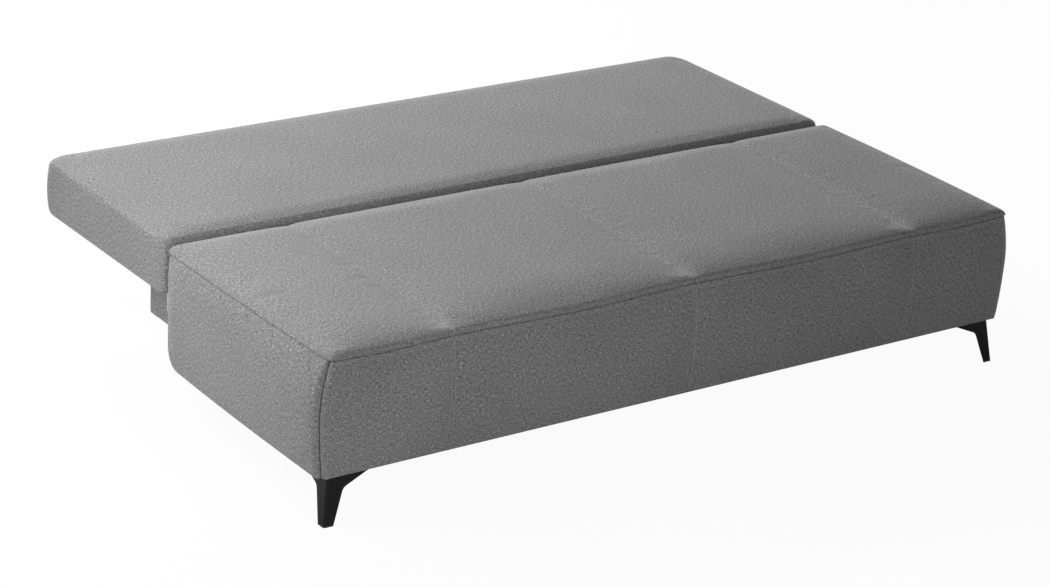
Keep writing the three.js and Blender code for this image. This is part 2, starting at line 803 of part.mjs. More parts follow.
// A square foot that narrows towards the floor
function chestFoot(x, y) {
  const outline = roundedOutline(-footSide / 2, footSide / 2, -footSide / 2, footSide / 2, footTaper);
  const foot = new THREE.ExtrudeGeometry(outline, {
    depth: underside - seatingGap,
    bevelEnabled: false,
    curveSegments: 2,
  });
  const position = foot.getAttribute("position");
  const narrowShare = 1 - (2 * footTaper) / footSide;
  for (let n = 0; n < position.count; n++) {
    const share = position.getZ(n) > footTaper ? 1 : narrowShare;
    position.setXY(n, position.getX(n) * share, position.getY(n) * share);
  }
  return foot.translate(x, y, 0);
}

function chestFeet() {
  const x = chestHalf - footInset - footSide / 2;
  addPair("chest_front_foot", chestFoot(x, chestFront + frontFootSetBack + footSide / 2), "plastic");
  addPair("chest_rear_foot", chestFoot(x, chestRear - footInset - footSide / 2), "plastic");
}

// Rubber buffers on the chest walls, on which the seat frame and the flat back rest
function buffer(x, y, z0, z1) {
  const geometry = new THREE.CylinderGeometry(bufferRadius * bufferTopShare, bufferRadius, z1 - z0, roundSides);
  return geometry.rotateX(Math.PI / 2).translate(x, y, (z0 + z1) / 2);
}

function buffers() {
  const x = chestHalf - bufferFromEnd;
  const z0 = chestTop + seatingGap;
  const frontY = chestFront + chestBoard - bufferRadius;
  addPair("seat_buffer", buffer(x, frontY, z0, frameBottom - seatingGap), "rubber");
  const backY = chestRear - chestBoard / 2;
  const baseBoardBottom = backBottom + baseBoardRecess;
  addPair("back_buffer", buffer(x, backY, z0, baseBoardBottom - seatingGap), "rubber");
}

// Base plate of the fold mechanism, bolted to the chest's end
function basePlate() {
  const z1 = chestTop - basePlateTopGap;
  const z0 = z1 - basePlateHeight;
  const y0 = armPivot.x - basePlateHalfLength;
  const y1 = armPivot.x + basePlateHalfLength;
  const shape = roundedOutline(y0, y1, z0, z1, boltHeadRadius);
  shape.holes.push(circleHole(armPivot, syncTubeRadius + boreGap));
  for (const y of [y0 + boltInset, y1 - boltInset]) {
    shape.holes.push(circleHole(new THREE.Vector2(y, z0 + boltInset), boltRadius + boreGap));
  }
  return sidePlate(shape, basePlateX, plateThickness);
}

function swingArm() {
  const shape = linkOutline(armPivot, backPivot, armEyeRadius, armHalfWidth);
  shape.holes.push(circleHole(armPivot, syncTubeRadius + seatingGap));
  shape.holes.push(circleHole(backPivot, pivotPinRadius + boreGap));
  shape.holes.push(circleHole(alongArm(pawlPivotReach, 0), pawlPinRadius + seatingGap));
  return sidePlate(shape, armX, plateThickness);
}

// A point at a distance from the back's pivot, turned from the arm's line by degrees
function alongArm(distance, degrees) {
  const angle = armAngle + THREE.MathUtils.degToRad(degrees);
  return new THREE.Vector2(
    backPivot.x + distance * Math.cos(angle),
    backPivot.y + distance * Math.sin(angle),
  );
}

// Tube through the chest that turns both swing arms together
function syncTube() {
  const end = armX + plateThickness;
  const outer = rod(syncTubeRadius, -end, end, armPivot.x, armPivot.y);
  const inner = rod(syncTubeRadius - syncTubeWall, -end - cutOver, end + cutOver, armPivot.x, armPivot.y);
  return cut(outer, inner);
}

// Toothed disc with its strap to the back's end rail
function ratchetBracket() {
  const disc = new THREE.Shape();
  const spread = toothPitch * (notchCount - 1);
  const start = firstNotchAngle - spread;
  const rim = [];
  for (let n = 0; n < notchCount; n++) {
    const at = start + n * toothPitch;
    rim.push(alongArm(discRadius, at - toothPitch * notchRampShare));
    rim.push(alongArm(discRadius - toothDepth, at - toothPitch * notchFloorShare));
    rim.push(alongArm(discRadius - toothDepth, at + toothPitch * notchFloorShare));
    rim.push(alongArm(discRadius, at + toothPitch * notchStopShare));
  }
  const plainFrom = start + (notchCount - 1) * toothPitch + toothPitch / 2;
  const plainTo = start + fullTurn - toothPitch / 2;
  const plainSteps = roundSides;
  for (let n = 0; n <= plainSteps; n++) {
    rim.push(alongArm(discRadius, plainFrom + ((plainTo - plainFrom) * n) / plainSteps));
  }
  disc.setFromPoints(rim);
  const strapMiddle = backPivot.y + strapRise;
  const rear = strapRear;
  const strap = block(
    discX,
    discX + plateThickness,
    backPivot.x,
    rear,
    strapMiddle - strapHalfWidth,
    strapMiddle + strapHalfWidth,
  );
  const tail = block(
    discX,
    discX + plateThickness,
    rear - strapTailWidth,
    rear,
    strapMiddle - strapTailDrop,
    strapMiddle + strapHalfWidth,
  );
  const boreEnds = [discX - cutOver, discX + plateThickness + cutOver];
  const bore = rod(pivotPinRadius + boreGap, ...boreEnds, backPivot.x, backPivot.y);
  return cut(joined(sidePlate(disc, discX, plateThickness), strap, tail), bore);
}

// Pawl on the arm, raised just clear of the teeth
function pawl() {
  const centre = alongArm(pawlPivotReach, 0);
  const tip = alongArm(discRadius + pawlTipClearance, firstNotchAngle);
  const tail = centre.clone().sub(tip).setLength(pawlTail).add(centre);
  const tipCentre = tip.clone().sub(centre).setLength(tip.distanceTo(centre) - pawlTipHalfWidth).add(centre);
  const beak = linkOutline(centre, tipCentre, pawlEyeRadius, pawlTipHalfWidth);
  const lug = linkOutline(centre, tail, pawlEyeRadius, pawlTipHalfWidth * 2);
  const thickness = plateThickness - runningGap / 2;
  const x0 = discX + runningGap / 4;
  const bore = rod(pawlPinRadius + boreGap, x0 - cutOver, x0 + thickness + cutOver, centre.x, centre.y);
  return cut(joined(sidePlate(beak, x0, thickness), sidePlate(lug, x0, thickness)), bore);
}

function pawlPin() {
  const centre = alongArm(pawlPivotReach, 0);
  return rod(pawlPinRadius, armX, discX + plateThickness, centre.x, centre.y);
}

// Slots in the back for arms, discs and pawls, open to its front and underside
function armSlots(rear, top) {
  const x0 = armX - slotSideGap;
  const x1 = discX + plateThickness + pinHeadHeight + slotSideGap;
  const slot = block(x0, x1, backFront - cutOver, rear, backBottom - cutOver, top);
  return [slot, mirrored(slot)];
}

// Back cushion: a padded block with rounded ends, hollow below for its frame
function backCushion() {
  const corners = [backFrontCorner, backFrontCorner, backRearCorner, backRearCorner];
  const level = (z, turned) => {
    const end = backEndRadius * turned;
    return { z, left: end, right: end, front: backEdgeRadius * turned, rear: end, corners };
  };
  const seamZ = topZ - backCrown;
  const lower = quarterSteps.map((degrees) => {
    const { rise, inset } = quarterShares(degrees);
    return level(backBottom + backEdgeRadius * inset, 1 - rise);
  });
  const upper = quarterSteps.map((degrees) => {
    const { rise, inset } = quarterShares(degrees);
    return level(seamZ - backEdgeRadius + backEdgeRadius * rise, inset);
  });
  const lift = (x, y) => {
    const edge = Math.min(
      halfWidth - backEndRadius - Math.abs(x),
      y - backFront - backEdgeRadius,
      backRear - backEndRadius - y,
    );
    return edgeRise(Math.max(edge, 0), edgeRoll, backCrown);
  };
  const endSteps = [backRearCorner / 2, backRearCorner, edgeRoll];
  const padded = paddedBlock({
    x0: -halfWidth,
    x1: halfWidth,
    y0: backFront,
    y1: backRear,
    xShares: stationShares(bodyWidth, endSteps, [], [], 8),
    yShares: stationShares(backDepth, endSteps, [], [], 4),
    levels: [...lower, ...upper],
    lift,
  });
  const recess = block(
    -halfWidth + backWall,
    halfWidth - backWall,
    backFront + backWall,
    backRear - backWall,
    backBottom - cutOver,
    recessTop,
  );
  const slotRear = strapRear + slotTopGap;
  const slotTop = backPivot.y + discRadius + slotTopGap;
  return cut(padded, recess, ...armSlots(slotRear, slotTop));
}

// Back frame: rails over a base board
function backFrame() {
  const z0 = backBottom + baseBoardRecess + baseBoardThickness + seatingGap;
  const railHalf = backRailX - seatingGap;
  const innerFront = backFront + backWall + seatingGap;
  add(
    "back_front_rail",
    block(-railHalf, railHalf, backFrontRailFront, backFrontRailRear, z0, backRailTop),
    "wood",
  );
  add(
    "back_rear_rail",
    block(-railHalf, railHalf, backRearRailFront, backInnerRear, z0, backRailTop),
    "wood",
  );
  addPair(
    "back_end_rail",
    block(backRailX, backRailX + backRailThickness, innerFront, backInnerRear, z0, backRailTop),
    "wood",
  );
  const boardHalf = halfWidth - backWall - seatingGap;
  const board = block(
    -boardHalf,
    boardHalf,
    innerFront,
    backInnerRear,
    backBottom + baseBoardRecess,
    backBottom + baseBoardRecess + baseBoardThickness,
  );
  add("back_base_board", cut(board, ...armSlots(backFrontRailFront, recessTop)), "lining");
}

// Seat
add("seat_cushion", cut(seatCushion(), ...hingeSlots(seatPivot.y + hingeEyeRadius + runningGap)), "fabric");
add("seat_front_panel", frontPanel(), "fabric");
addPair("seat_end_panel", endPanel(), "fabric");
add("seat_rear_panel", rearPanel(), "fabric");
seatFrame();
add(
  "seat_springs",
  springMat(
    frameHalf - railThickness * 3,
    seatFrontRailRear + seatingGap,
    seatRearRailFront - seatingGap,
    foamBottom - springBelowFoam - wireRadius,
  ),
  "springWire",
);
addPair("front_leg", frontLeg(), "powderCoat");
addPair("leg_glide", legGlide(), "plastic");
addPair("seat_hinge_leaf", hingeLeaf(), "zinc");

// Chest
chest();
chestFeet();
buffers();
addPair("seat_hinge_post", hingePost(), "zinc");
addPair(
  "seat_hinge_pin",
  headedPin(
    hingePinRadius,
    hingePinHeadRadius,
    hingePinHeadHeight,
    leafX - pinHeadHeight,
    postX + plateThickness + seatingGap,
    seatPivot,
  ),
  "zinc",
);
addPair("fold_base_plate", basePlate(), "zinc");

// Swing arms, discs and pawls
addPair("swing_arm", swingArm(), "zinc");
add("sync_tube", syncTube(), "zinc");
addPair(
  "back_pivot_pin",
  headedPin(
    pivotPinRadius,
    pinHeadRadius,
    pinHeadHeight,
    armX - runningGap / 2,
    discX + plateThickness + seatingGap,
    backPivot,
  ),
  "zinc",
);
addPair("pawl_pin", pawlPin(), "zinc");
addPair("pawl", pawl(), "zinc");

// Back
add("back_cushion", backCushion(), "fabric");
backFrame();
add(
  "back_springs",
  springMat(
    backRailX - backRailThickness * 3,
    backFrontRailRear + seatingGap,
    backRearRailFront - seatingGap,
    recessTop - springBelowFoam - wireRadius,
  ),
  "springWire",
);
addPair("ratchet_bracket", ratchetBracket(), "zinc");

export default sofaBed;
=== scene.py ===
# Sofa bed, opened flat: upholstery, stitching, finishes, light and camera
import math

import bmesh
import bpy
from mathutils import Matrix, Vector, noise
from mathutils.bvhtree import BVHTree


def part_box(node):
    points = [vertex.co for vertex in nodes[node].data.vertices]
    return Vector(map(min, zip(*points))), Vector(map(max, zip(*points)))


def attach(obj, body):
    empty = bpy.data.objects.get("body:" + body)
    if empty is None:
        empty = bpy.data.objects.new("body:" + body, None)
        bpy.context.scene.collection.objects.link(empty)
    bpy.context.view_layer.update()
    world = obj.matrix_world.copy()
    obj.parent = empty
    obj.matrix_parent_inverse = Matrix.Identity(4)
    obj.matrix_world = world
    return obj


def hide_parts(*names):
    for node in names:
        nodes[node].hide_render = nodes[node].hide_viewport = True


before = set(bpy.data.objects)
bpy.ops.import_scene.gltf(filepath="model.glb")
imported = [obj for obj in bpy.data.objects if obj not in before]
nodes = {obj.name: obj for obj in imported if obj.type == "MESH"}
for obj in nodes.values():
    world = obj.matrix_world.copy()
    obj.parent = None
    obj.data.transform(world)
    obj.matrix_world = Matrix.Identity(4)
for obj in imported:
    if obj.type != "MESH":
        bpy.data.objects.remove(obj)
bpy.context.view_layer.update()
mm = 0.001


# Scene helpers
def placed(name, data):
    piece = bpy.data.objects.new(name, data)
    bpy.context.scene.collection.objects.link(piece)
    return piece


def meshFrom(name, body):
    mesh = bpy.data.meshes.new(name)
    body.to_mesh(mesh)
    body.free()
    return mesh


def smoothShaded(mesh):
    mesh.polygons.foreach_set("use_smooth", [True] * len(mesh.polygons))
    return mesh


# Colour and node helpers
def linear(hexColour):
    parts = [int(hexColour[i:i + 2], 16) / 255 for i in (1, 3, 5)]
    return [c / 12.92 if c <= 0.04045 else ((c + 0.055) / 1.055) ** 2.4 for c in parts] + [1]


def addNode(material, kind, settings=None, links=None):
    node = material.node_tree.nodes.new(kind)
    for key, value in (settings or {}).items():
        if isinstance(key, int) or key in node.inputs:
            node.inputs[key].default_value = value
        else:
            setattr(node, key, value)
    for key, source in (links or {}).items():
        material.node_tree.links.new(source, node.inputs[key])
    return node


def newMaterial(name):
    material = bpy.data.materials.new(name)
    material.use_nodes = True
    material.node_tree.nodes.clear()
    return material


def finishShader(material, settings, links):
    shader = addNode(material, "ShaderNodeBsdfPrincipled", settings, links)
    addNode(material, "ShaderNodeOutputMaterial", {}, {"Surface": shader.outputs[0]})
    return material


def colourSteps(material, source, steps):
    ramp = addNode(material, "ShaderNodeValToRGB", {}, {"Fac": source})
    stops = ramp.color_ramp.elements
    while len(stops) < len(steps):
        stops.new(0.5)
    for stop, (place, colour) in zip(stops, steps):
        stop.position = place
        stop.color = linear(colour) if isinstance(colour, str) else [colour] * 3 + [1]
    return ramp.outputs["Color"]


def objectPlace(material):
    return addNode(material, "ShaderNodeTexCoord").outputs["Object"]


def noiseOn(material, place, scale, detail, roughness=0.5):
    settings = {"Scale": scale, "Detail": detail, "Roughness": roughness}
    return addNode(material, "ShaderNodeTexNoise", settings, {"Vector": place}).outputs["Fac"]


def cellsOn(material, place, scale, randomness, output):
    settings = {"Scale": scale, "Randomness": randomness}
    return addNode(material, "ShaderNodeTexVoronoi", settings, {"Vector": place}).outputs[output]


def blended(material, settings, links):
    return addNode(material, "ShaderNodeMix", {"data_type": "FLOAT", **settings}, links).outputs[0]


def bumpFrom(material, height, strength, distance):
    settings = {"Strength": strength, "Distance": distance}
    return addNode(material, "ShaderNodeBump", settings, {"Height": height}).outputs[0]


# Woven polyester upholstery, piece-dyed melange: matt, with light and dark flecks on both threads
weave = {
    "dark": "#4a4a4a",
    "mid": "#8a8a8a",
    "light": "#c8c8c8",
    "stops": (0.365, 0.505, 0.545, 0.685),  # of dark, mid, mid and light
    "checkTones": (0.42, 0.58),
    "threadSpacing": 2.6,  # mm, drawn a little coarser than real so that it shows
    "fleckLength": 8.0,
    "fleckWidth": 2.4,
    "cloudSize": 240.0,
    "cloudShare": 0.05,
    "roughness": 0.92,
    "sheen": 0.12,
}


def wovenMelange(name):
    w = weave
    material = newMaterial(name)
    uv = addNode(material, "ShaderNodeUVMap").outputs["UV"]

    def stretched(sizeU, sizeV):
        scale = {"Scale": (1000 / sizeU, 1000 / sizeV, 1)}
        return addNode(material, "ShaderNodeMapping", scale, {"Vector": uv}).outputs[0]

    def flecks(sizeU, sizeV):
        return noiseOn(material, stretched(sizeU, sizeV), 1.0, 2.0, 0.6)

    along = flecks(w["fleckWidth"], w["fleckLength"])
    across = flecks(w["fleckLength"], w["fleckWidth"])
    weft, warp = ((tone, tone, tone, 1) for tone in w["checkTones"])
    checks = addNode(
        material, "ShaderNodeTexChecker", {"Scale": 1.0, "Color1": weft, "Color2": warp},
        {"Vector": stretched(w["threadSpacing"], w["threadSpacing"])},
    ).outputs["Color"]
    pick = blended(material, {}, {0: checks, 2: along, 3: across})
    cloud = noiseOn(material, stretched(w["cloudSize"], w["cloudSize"]), 1.0, 3.0)
    lifted = addNode(
        material, "ShaderNodeMath", {"operation": "MULTIPLY_ADD", 1: w["cloudShare"]},
        {0: cloud, 2: pick},
    ).outputs[0]
    tones = (w["dark"], w["mid"], w["mid"], w["light"])
    shade = colourSteps(material, lifted, list(zip(w["stops"], tones)))
    bumpHeight = addNode(
        material, "ShaderNodeMath", {"operation": "MULTIPLY"}, {0: pick, 1: checks},
    ).outputs[0]
    return finishShader(
        material,
        {"Roughness": w["roughness"], "IOR": 1.5, "Specular IOR Level": 0.25,
         "Sheen Weight": w["sheen"], "Sheen Roughness": 0.5},
        {"Base Color": shade, "Normal": bumpFrom(material, bumpHeight, 0.5, 0.8 * mm)},
    )


# Powder coat on folded sheet steel: black satin with a fine orange-peel that softens its highlights
def powderCoatedSteel():
    material = newMaterial("black powder-coated steel")
    peel = noiseOn(material, objectPlace(material), 1 / (1.2 * mm), 2.0)
    tone = colourSteps(material, peel, [(0.3, "#0a0a0b"), (0.7, "#131314")])
    return finishShader(
        material, {"Roughness": 0.36, "IOR": 1.5, "Specular IOR Level": 0.2},
        {"Base Color": tone, "Normal": bumpFrom(material, peel, 0.25, 0.15 * mm)},
    )


# Zinc-plated steel, passivated: bluish grey metal with faint spangle and rolling marks
def zincPlatedSteel():
    material = newMaterial("zinc-plated steel")
    place = objectPlace(material)
    spangle = cellsOn(material, place, 1 / (9 * mm), 1.0, "Color")
    drag = addNode(
        material, "ShaderNodeMapping", {"Scale": (120, 2400, 120)}, {"Vector": place},
    ).outputs[0]
    marks = noiseOn(material, drag, 1.0, 3.0)
    mixed = blended(material, {0: 0.6}, {2: spangle, 3: marks})
    tone = colourSteps(material, mixed, [(0.2, "#9aa0a6"), (0.8, "#c3c7cb")])
    rough = colourSteps(material, mixed, [(0.2, 0.30), (0.8, 0.46)])
    bump = bumpFrom(material, marks, 0.15, 0.1 * mm)
    return finishShader(
        material, {"Metallic": 1.0}, {"Base Color": tone, "Roughness": rough, "Normal": bump},
    )


# Spring wire, oil-tempered: dark metal with a fine drawn grain
def springWire():
    material = newMaterial("oil-tempered spring wire")
    grain = noiseOn(material, objectPlace(material), 1 / (3 * mm), 4.0)
    tone = colourSteps(material, grain, [(0.3, "#4d5053"), (0.7, "#7b7f83")])
    return finishShader(material, {"Metallic": 1.0, "Roughness": 0.42}, {"Base Color": tone})


# Sawn beech: pale tan with close grain lines and short dark flecks along the rail
beech = {  # mm, across and along the grain
    "grain": (9, 260),
    "fleck": (1.4, 12),
}


def sawnBeech(name, grainAxis):
    material = newMaterial(name)
    place = objectPlace(material)

    def alongRail(size, detail, roughness=0.5):
        scale = [1000 / size[0]] * 3
        scale[grainAxis] = 1000 / size[1]
        run = addNode(material, "ShaderNodeMapping", {"Scale": scale}, {"Vector": place}).outputs[0]
        return noiseOn(material, run, 1.0, detail, roughness)

    grain = alongRail(beech["grain"], 6.0, 0.65)
    fleck = alongRail(beech["fleck"], 2.0)
    mixed = blended(material, {0: 0.35}, {2: grain, 3: fleck})
    tone = colourSteps(material, mixed, [(0.3, "#a3794c"), (0.5, "#c69c6d"), (0.7, "#d8b488")])
    bump = bumpFrom(material, mixed, 0.3, 0.3 * mm)
    return finishShader(
        material, {"Roughness": 0.7, "IOR": 1.5}, {"Base Color": tone, "Normal": bump},
    )


# Hardboard floor of the chest: brown pressed fibre
def pressedHardboard():
    material = newMaterial("pressed hardboard")
    fibre = noiseOn(material, objectPlace(material), 1 / (4 * mm), 6.0, 0.7)
    tone = colourSteps(material, fibre, [(0.3, "#7a5a3a"), (0.7, "#9c7a54")])
    bump = bumpFrom(material, fibre, 0.2, 0.2 * mm)
    return finishShader(material, {"Roughness": 0.65}, {"Base Color": tone, "Normal": bump})


# Moulded polypropylene and vulcanised rubber: black, with a light spark-eroded grain
def mouldedBlack(name, roughness, colour):
    material = newMaterial(name)
    grain = noiseOn(material, objectPlace(material), 1 / (1.5 * mm), 2.0)
    tone = colourSteps(material, grain, [(0.35, colour), (0.75, "#2b2b2d")])
    bump = bumpFrom(material, grain, 0.2, 0.15 * mm)
    return finishShader(material, {"Roughness": roughness}, {"Base Color": tone, "Normal": bump})


# Spun-bonded dust cover under the back: thin black felt with pressed dots
def spunBondedFelt():
    material = newMaterial("spun-bonded dust cover")
    dots = cellsOn(material, objectPlace(material), 1 / (3 * mm), 0.15, "Distance")
    tone = colourSteps(material, dots, [(0.1, "#161617"), (0.4, "#2a2a2b")])
    bump = bumpFrom(material, dots, 0.4, 0.3 * mm)
    return finishShader(material, {"Roughness": 0.95}, {"Base Color": tone, "Normal": bump})


# Bonded polyester thread: slightly glossy, a shade lighter than the cloth
def bondedThread():
    material = newMaterial("bonded sewing thread")
    twist = noiseOn(material, objectPlace(material), 1 / (0.8 * mm), 1.0)
    tone = colourSteps(material, twist, [(0.3, "#9a9a9a"), (0.7, "#c2c2c2")])
    return finishShader(material, {"Roughness": 0.6, "Sheen Weight": 0.2}, {"Base Color": tone})


cloth = wovenMelange("woven melange upholstery")
thread = bondedThread()
print("materials made")


# Padded covers: a closed body of rings from its hidden side to its face
def steps(length, spacing, seams=(), seamSteps=(), endSteps=()):
    fixed = {0.0, length}
    for step in endSteps:
        fixed |= {step, length - step}
    for seam in seams:
        fixed.add(seam)
        for step in seamSteps:
            fixed |= {seam - step, seam + step}
    fixed = sorted(fixed)
    places = []
    for low, high in zip(fixed, fixed[1:]):
        count = max(1, round((high - low) / spacing))
        places += [low + (high - low) * k / count for k in range(count)]
    return places + [length]


# Bends the corners of a rectangle's outline round, moving only what lies in the corner squares.
# The radii go round from the low corner: low x low y, high x low y, high x high y, low x high y
def roundedPlace(x, y, x0, x1, y0, y1, radii):
    right, high = x > (x0 + x1) / 2, y > (y0 + y1) / 2
    radius = radii[(3 if high else 0) if not right else (2 if high else 1)]
    if radius <= 0:
        return x, y
    cx = min(max(x, x0 + radius), x1 - radius)
    cy = min(max(y, y0 + radius), y1 - radius)
    dx, dy = x - cx, y - cy
    far = math.hypot(dx, dy)
    if dx == 0 or dy == 0 or far == 0:
        return x, y
    scale = max(abs(dx), abs(dy)) / far
    return cx + dx * scale, cy + dy * scale


# A place along a side whose ends stand in: only the end zones are drawn in, so seams keep theirs
def drawnIn(along, length, atStart, atEnd):
    zone = 80 * mm
    started, ended = max(1 - along / zone, 0), max(1 - (length - along) / zone, 0)
    return along + atStart * started - atEnd * ended


squareCorners = (0, 0, 0, 0)


def paddedBody(name, xs, ys, levels, rise):
    lengthX, lengthY = xs[-1], ys[-1]
    countX, countY, last = len(xs) - 1, len(ys) - 1, len(levels) - 1
    body = bmesh.new()
    made = {}

    def vertex(i, j, k):
        edge = i in (0, countX) or j in (0, countY)
        key = (i, j, k)
        if key not in made:
            level = levels[k]
            x0, x1 = level["left"], lengthX - level["right"]
            y0, y1 = level["near"], lengthY - level["far"]
            x = drawnIn(xs[i], lengthX, level["left"], level["right"])
            y = drawnIn(ys[j], lengthY, level["near"], level["far"])
            x, y = roundedPlace(x, y, x0, x1, y0, y1, level.get("corner", squareCorners))
            z = level["z"] + (rise(x, y, 0 if edge else 1) if k == last else 0)
            made[key] = body.verts.new((x, y, z))
        return made[key]

    for i in range(countX):
        for j in range(countY):
            corners = [(i, j), (i + 1, j), (i + 1, j + 1), (i, j + 1)]
            body.faces.new([vertex(a, b, last) for a, b in corners])
            body.faces.new([vertex(a, b, 0) for a, b in reversed(corners)])
    loop = [(i, 0) for i in range(countX)] + [(countX, j) for j in range(countY)]
    loop += [(i, countY) for i in range(countX, 0, -1)] + [(0, j) for j in range(countY, 0, -1)]
    for k in range(last):
        for (a, b), (c, d) in zip(loop, loop[1:] + loop[:1]):
            corners = ((a, b, k), (c, d, k), (c, d, k + 1), (a, b, k + 1))
            body.faces.new([vertex(*corner) for corner in corners])
    body.verts.index_update()
    faceIndex = {
        (i, j): made[(i, j, last)].index for i in range(countX + 1) for j in range(countY + 1)
    }
    return placed(name, smoothShaded(meshFrom(name, body))), faceIndex


# The part of its height that a crown has reached, from each edge's distance and run
def crownShare(runs):
    return math.prod(1 - (1 - min(max(edge, 0) / run, 1)) ** 3 for edge, run in runs)


# Places along a face that its seams hold down, counted from the seam to the right
seamHold = (-2 * mm, 12 * mm)


# The vertices of a face that its edge and its seams leave free
def freeVertices(face, xs, ys, seams=()):
    low, high = seamHold
    held = {i for i, x in enumerate(xs) for seam in seams if low < x - seam < high}
    return {
        index for (i, j), index in face.items()
        if i not in held and 0 < i < len(xs) - 1 and 0 < j < len(ys) - 1
    }


padding = {
    "steps": 20,
    "quality": 4,
    "bending": 0.3,
    "least": 1e-6,  # shorter shifts are left out
}


# Presses the padding out against the cloth between its seams, and holds the result
def inflate(piece, free, pressure, most, shrink=-0.006):
    mesh = piece.data
    start = [v.co.copy() for v in mesh.vertices]
    pinned = piece.vertex_groups.new(name="sewn")
    sewn = [v.index for v in mesh.vertices if v.index not in free]
    pinned.add(sewn, 1.0, "REPLACE")
    soft = piece.modifiers.new("padding", "CLOTH")
    soft.settings.use_pressure = True
    soft.settings.uniform_pressure_force = pressure
    soft.settings.effector_weights.gravity = 0
    soft.settings.vertex_group_mass = "sewn"
    soft.settings.shrink_min = shrink
    soft.settings.quality = padding["quality"]
    soft.settings.bending_stiffness = padding["bending"]
    soft.collision_settings.use_collision = False
    scene = bpy.context.scene
    for step in range(1, padding["steps"] + 1):
        scene.frame_set(step)
    shaped = piece.evaluated_get(bpy.context.evaluated_depsgraph_get()).data
    moved = [v.co.copy() for v in shaped.vertices]
    piece.modifiers.remove(soft)
    for vertex, old, new in zip(mesh.vertices, start, moved):
        shift = new - old
        if shift.length > padding["least"]:
            vertex.co = old + shift * (most * math.tanh(shift.length / most) / shift.length)
    piece.vertex_groups.clear()
    scene.frame_set(1)


# Lays the cloth's threads square on each side of a piece, in metres
def layThreads(mesh):
    layer = mesh.uv_layers.get("threads") or mesh.uv_layers.new(name="threads")
    values = [0.0] * (len(mesh.loops) * 2)
    for face in mesh.polygons:
        normal = face.normal
        axis = max(range(3), key=lambda n: abs(normal[n]))
        u, v = [(1, 2), (0, 2), (0, 1)][axis]
        for loop in face.loop_indices:
            place = mesh.vertices[mesh.loops[loop].vertex_index].co
            values[loop * 2] = place[u]
            values[loop * 2 + 1] = place[v]
    layer.data.foreach_set("uv", values)


def finishCover(piece, body, *replaced, fill=0.8):
    layThreads(piece.data)
    piece.data.materials.clear()
    piece.data.materials.append(cloth)
    smooth = piece.modifiers.new("smooth", "SUBSURF")
    smooth.levels = smooth.render_levels = 1
    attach(piece, body)
    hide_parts(*replaced)


# How far a slot is cut past the cover's underside and past its edge
cutBelow, cutPast = 0.05, 0.01


# Cuts the hidden slots that leave room for the fittings: the right one's box and its mirror image
def cutSlots(piece, low, high):
    boxes = [(low, high), ((-high[0], low[1], low[2]), (-low[0], high[1], high[2]))]
    body = bmesh.new()
    for low, high in boxes:
        middle = [(a + b) / 2 for a, b in zip(low, high)]
        size = [b - a for a, b in zip(low, high)]
        place = Matrix.Translation(middle) @ Matrix.Diagonal(size + [1])
        bmesh.ops.create_cube(body, size=1, matrix=place)
    cutter = placed("slots", meshFrom("slots", body))
    cut = piece.modifiers.new("slots", "BOOLEAN")
    cut.operation = "DIFFERENCE"
    cut.solver = "EXACT"
    cut.object = cutter
    bpy.context.view_layer.update()
    shaped = piece.evaluated_get(bpy.context.evaluated_depsgraph_get())
    piece.data = bpy.data.meshes.new_from_object(shaped)
    piece.modifiers.clear()
    bpy.data.objects.remove(cutter)


def softWave(x, y, seed, size, height):
    return height * noise.noise(Vector((x / size, y / size, seed)))


# Seat
seat = {
    "half": 1.0,
    "front": -0.6875,
    "rear": 0.0355,
    "seam": 0.4,
    "top": 0.4265,
    "foamBottom": 0.33,
    "hiddenSides": (46 * mm, 18 * mm),  # how far the hidden side stands in: front and ends, rear
    "hiddenDrop": 3 * mm,
    "spacing": 13 * mm,
    "seamSteps": (3 * mm, 5.5 * mm, 8 * mm, 16 * mm),
    "endSteps": (6 * mm,),
    # The edge's roll: each ring's height over the seam and how far it stands in, in mm
    "edgeRings": (
        (-1.5, 9), (0.1, 1.6), (1.6, 0), (7, 0), (11.5, 0.6), (14.2, 2.6), (16, 5.8), (17.2, 10.5),
    ),
    "crownRun": 200 * mm,
    "rearRunShare": 0.4,  # of the crown's run, before the rear edge
    "endRoll": 70 * mm,  # how far in the roll of the ends reaches
    "endRollHeight": 24 * mm,
    "endRun": 90 * mm,
    "wave": (3.7, 0.22, 0.3 * mm),  # the cloth's unevenness: seed, size and height
    "channels": (-0.68, 0.0, 0.68),
    "channelShares": (0.24, 0.55, 0.3),  # of the height over the seam: front edge, inside, rear
    "channelStart": 1 * mm,  # the height over the seam from which the channels draw
    "channelFrontRun": 0.12,  # shares of the seat's depth
    "channelRearStart": 0.15,
    "channelRearRun": 0.85,
    "channelWidths": (42 * mm, 9 * mm),
    "frontCorner": 16 * mm,
    "rearCorner": 12 * mm,
    "planBow": 10 * mm,
    "planBowTurn": 0.7,  # of a half wave, from the front to the rear
    "planBowStart": 0.8,
    "planBowRun": 0.2,
    "frontSag": (3 * mm, 6 * mm, 6 * mm, 3 * mm),  # of the front seam between the channels
    "sagReach": 0.14,
    "sagBottom": 0.27,
    "sagRun": 0.12,
    "pressure": 3.0,
    "puff": 3.5 * mm,
    "slotSides": (11 * mm, 4 * mm),  # room about the hinge posts: inwards, outwards
    "slotFront": 10 * mm,
    "slotOver": 1 * mm,
}


def bell(distance, width):
    return math.exp(-((distance / width) ** 2))


# A sewn crease: the cloth slopes gently to it from the left and rises steeply over the seam allowance
def crease(distance, widths):
    return math.exp(-abs(distance) / widths[distance > 0])


def easing(value):
    value = min(max(value, 0), 1)
    return value * value * (3 - 2 * value)


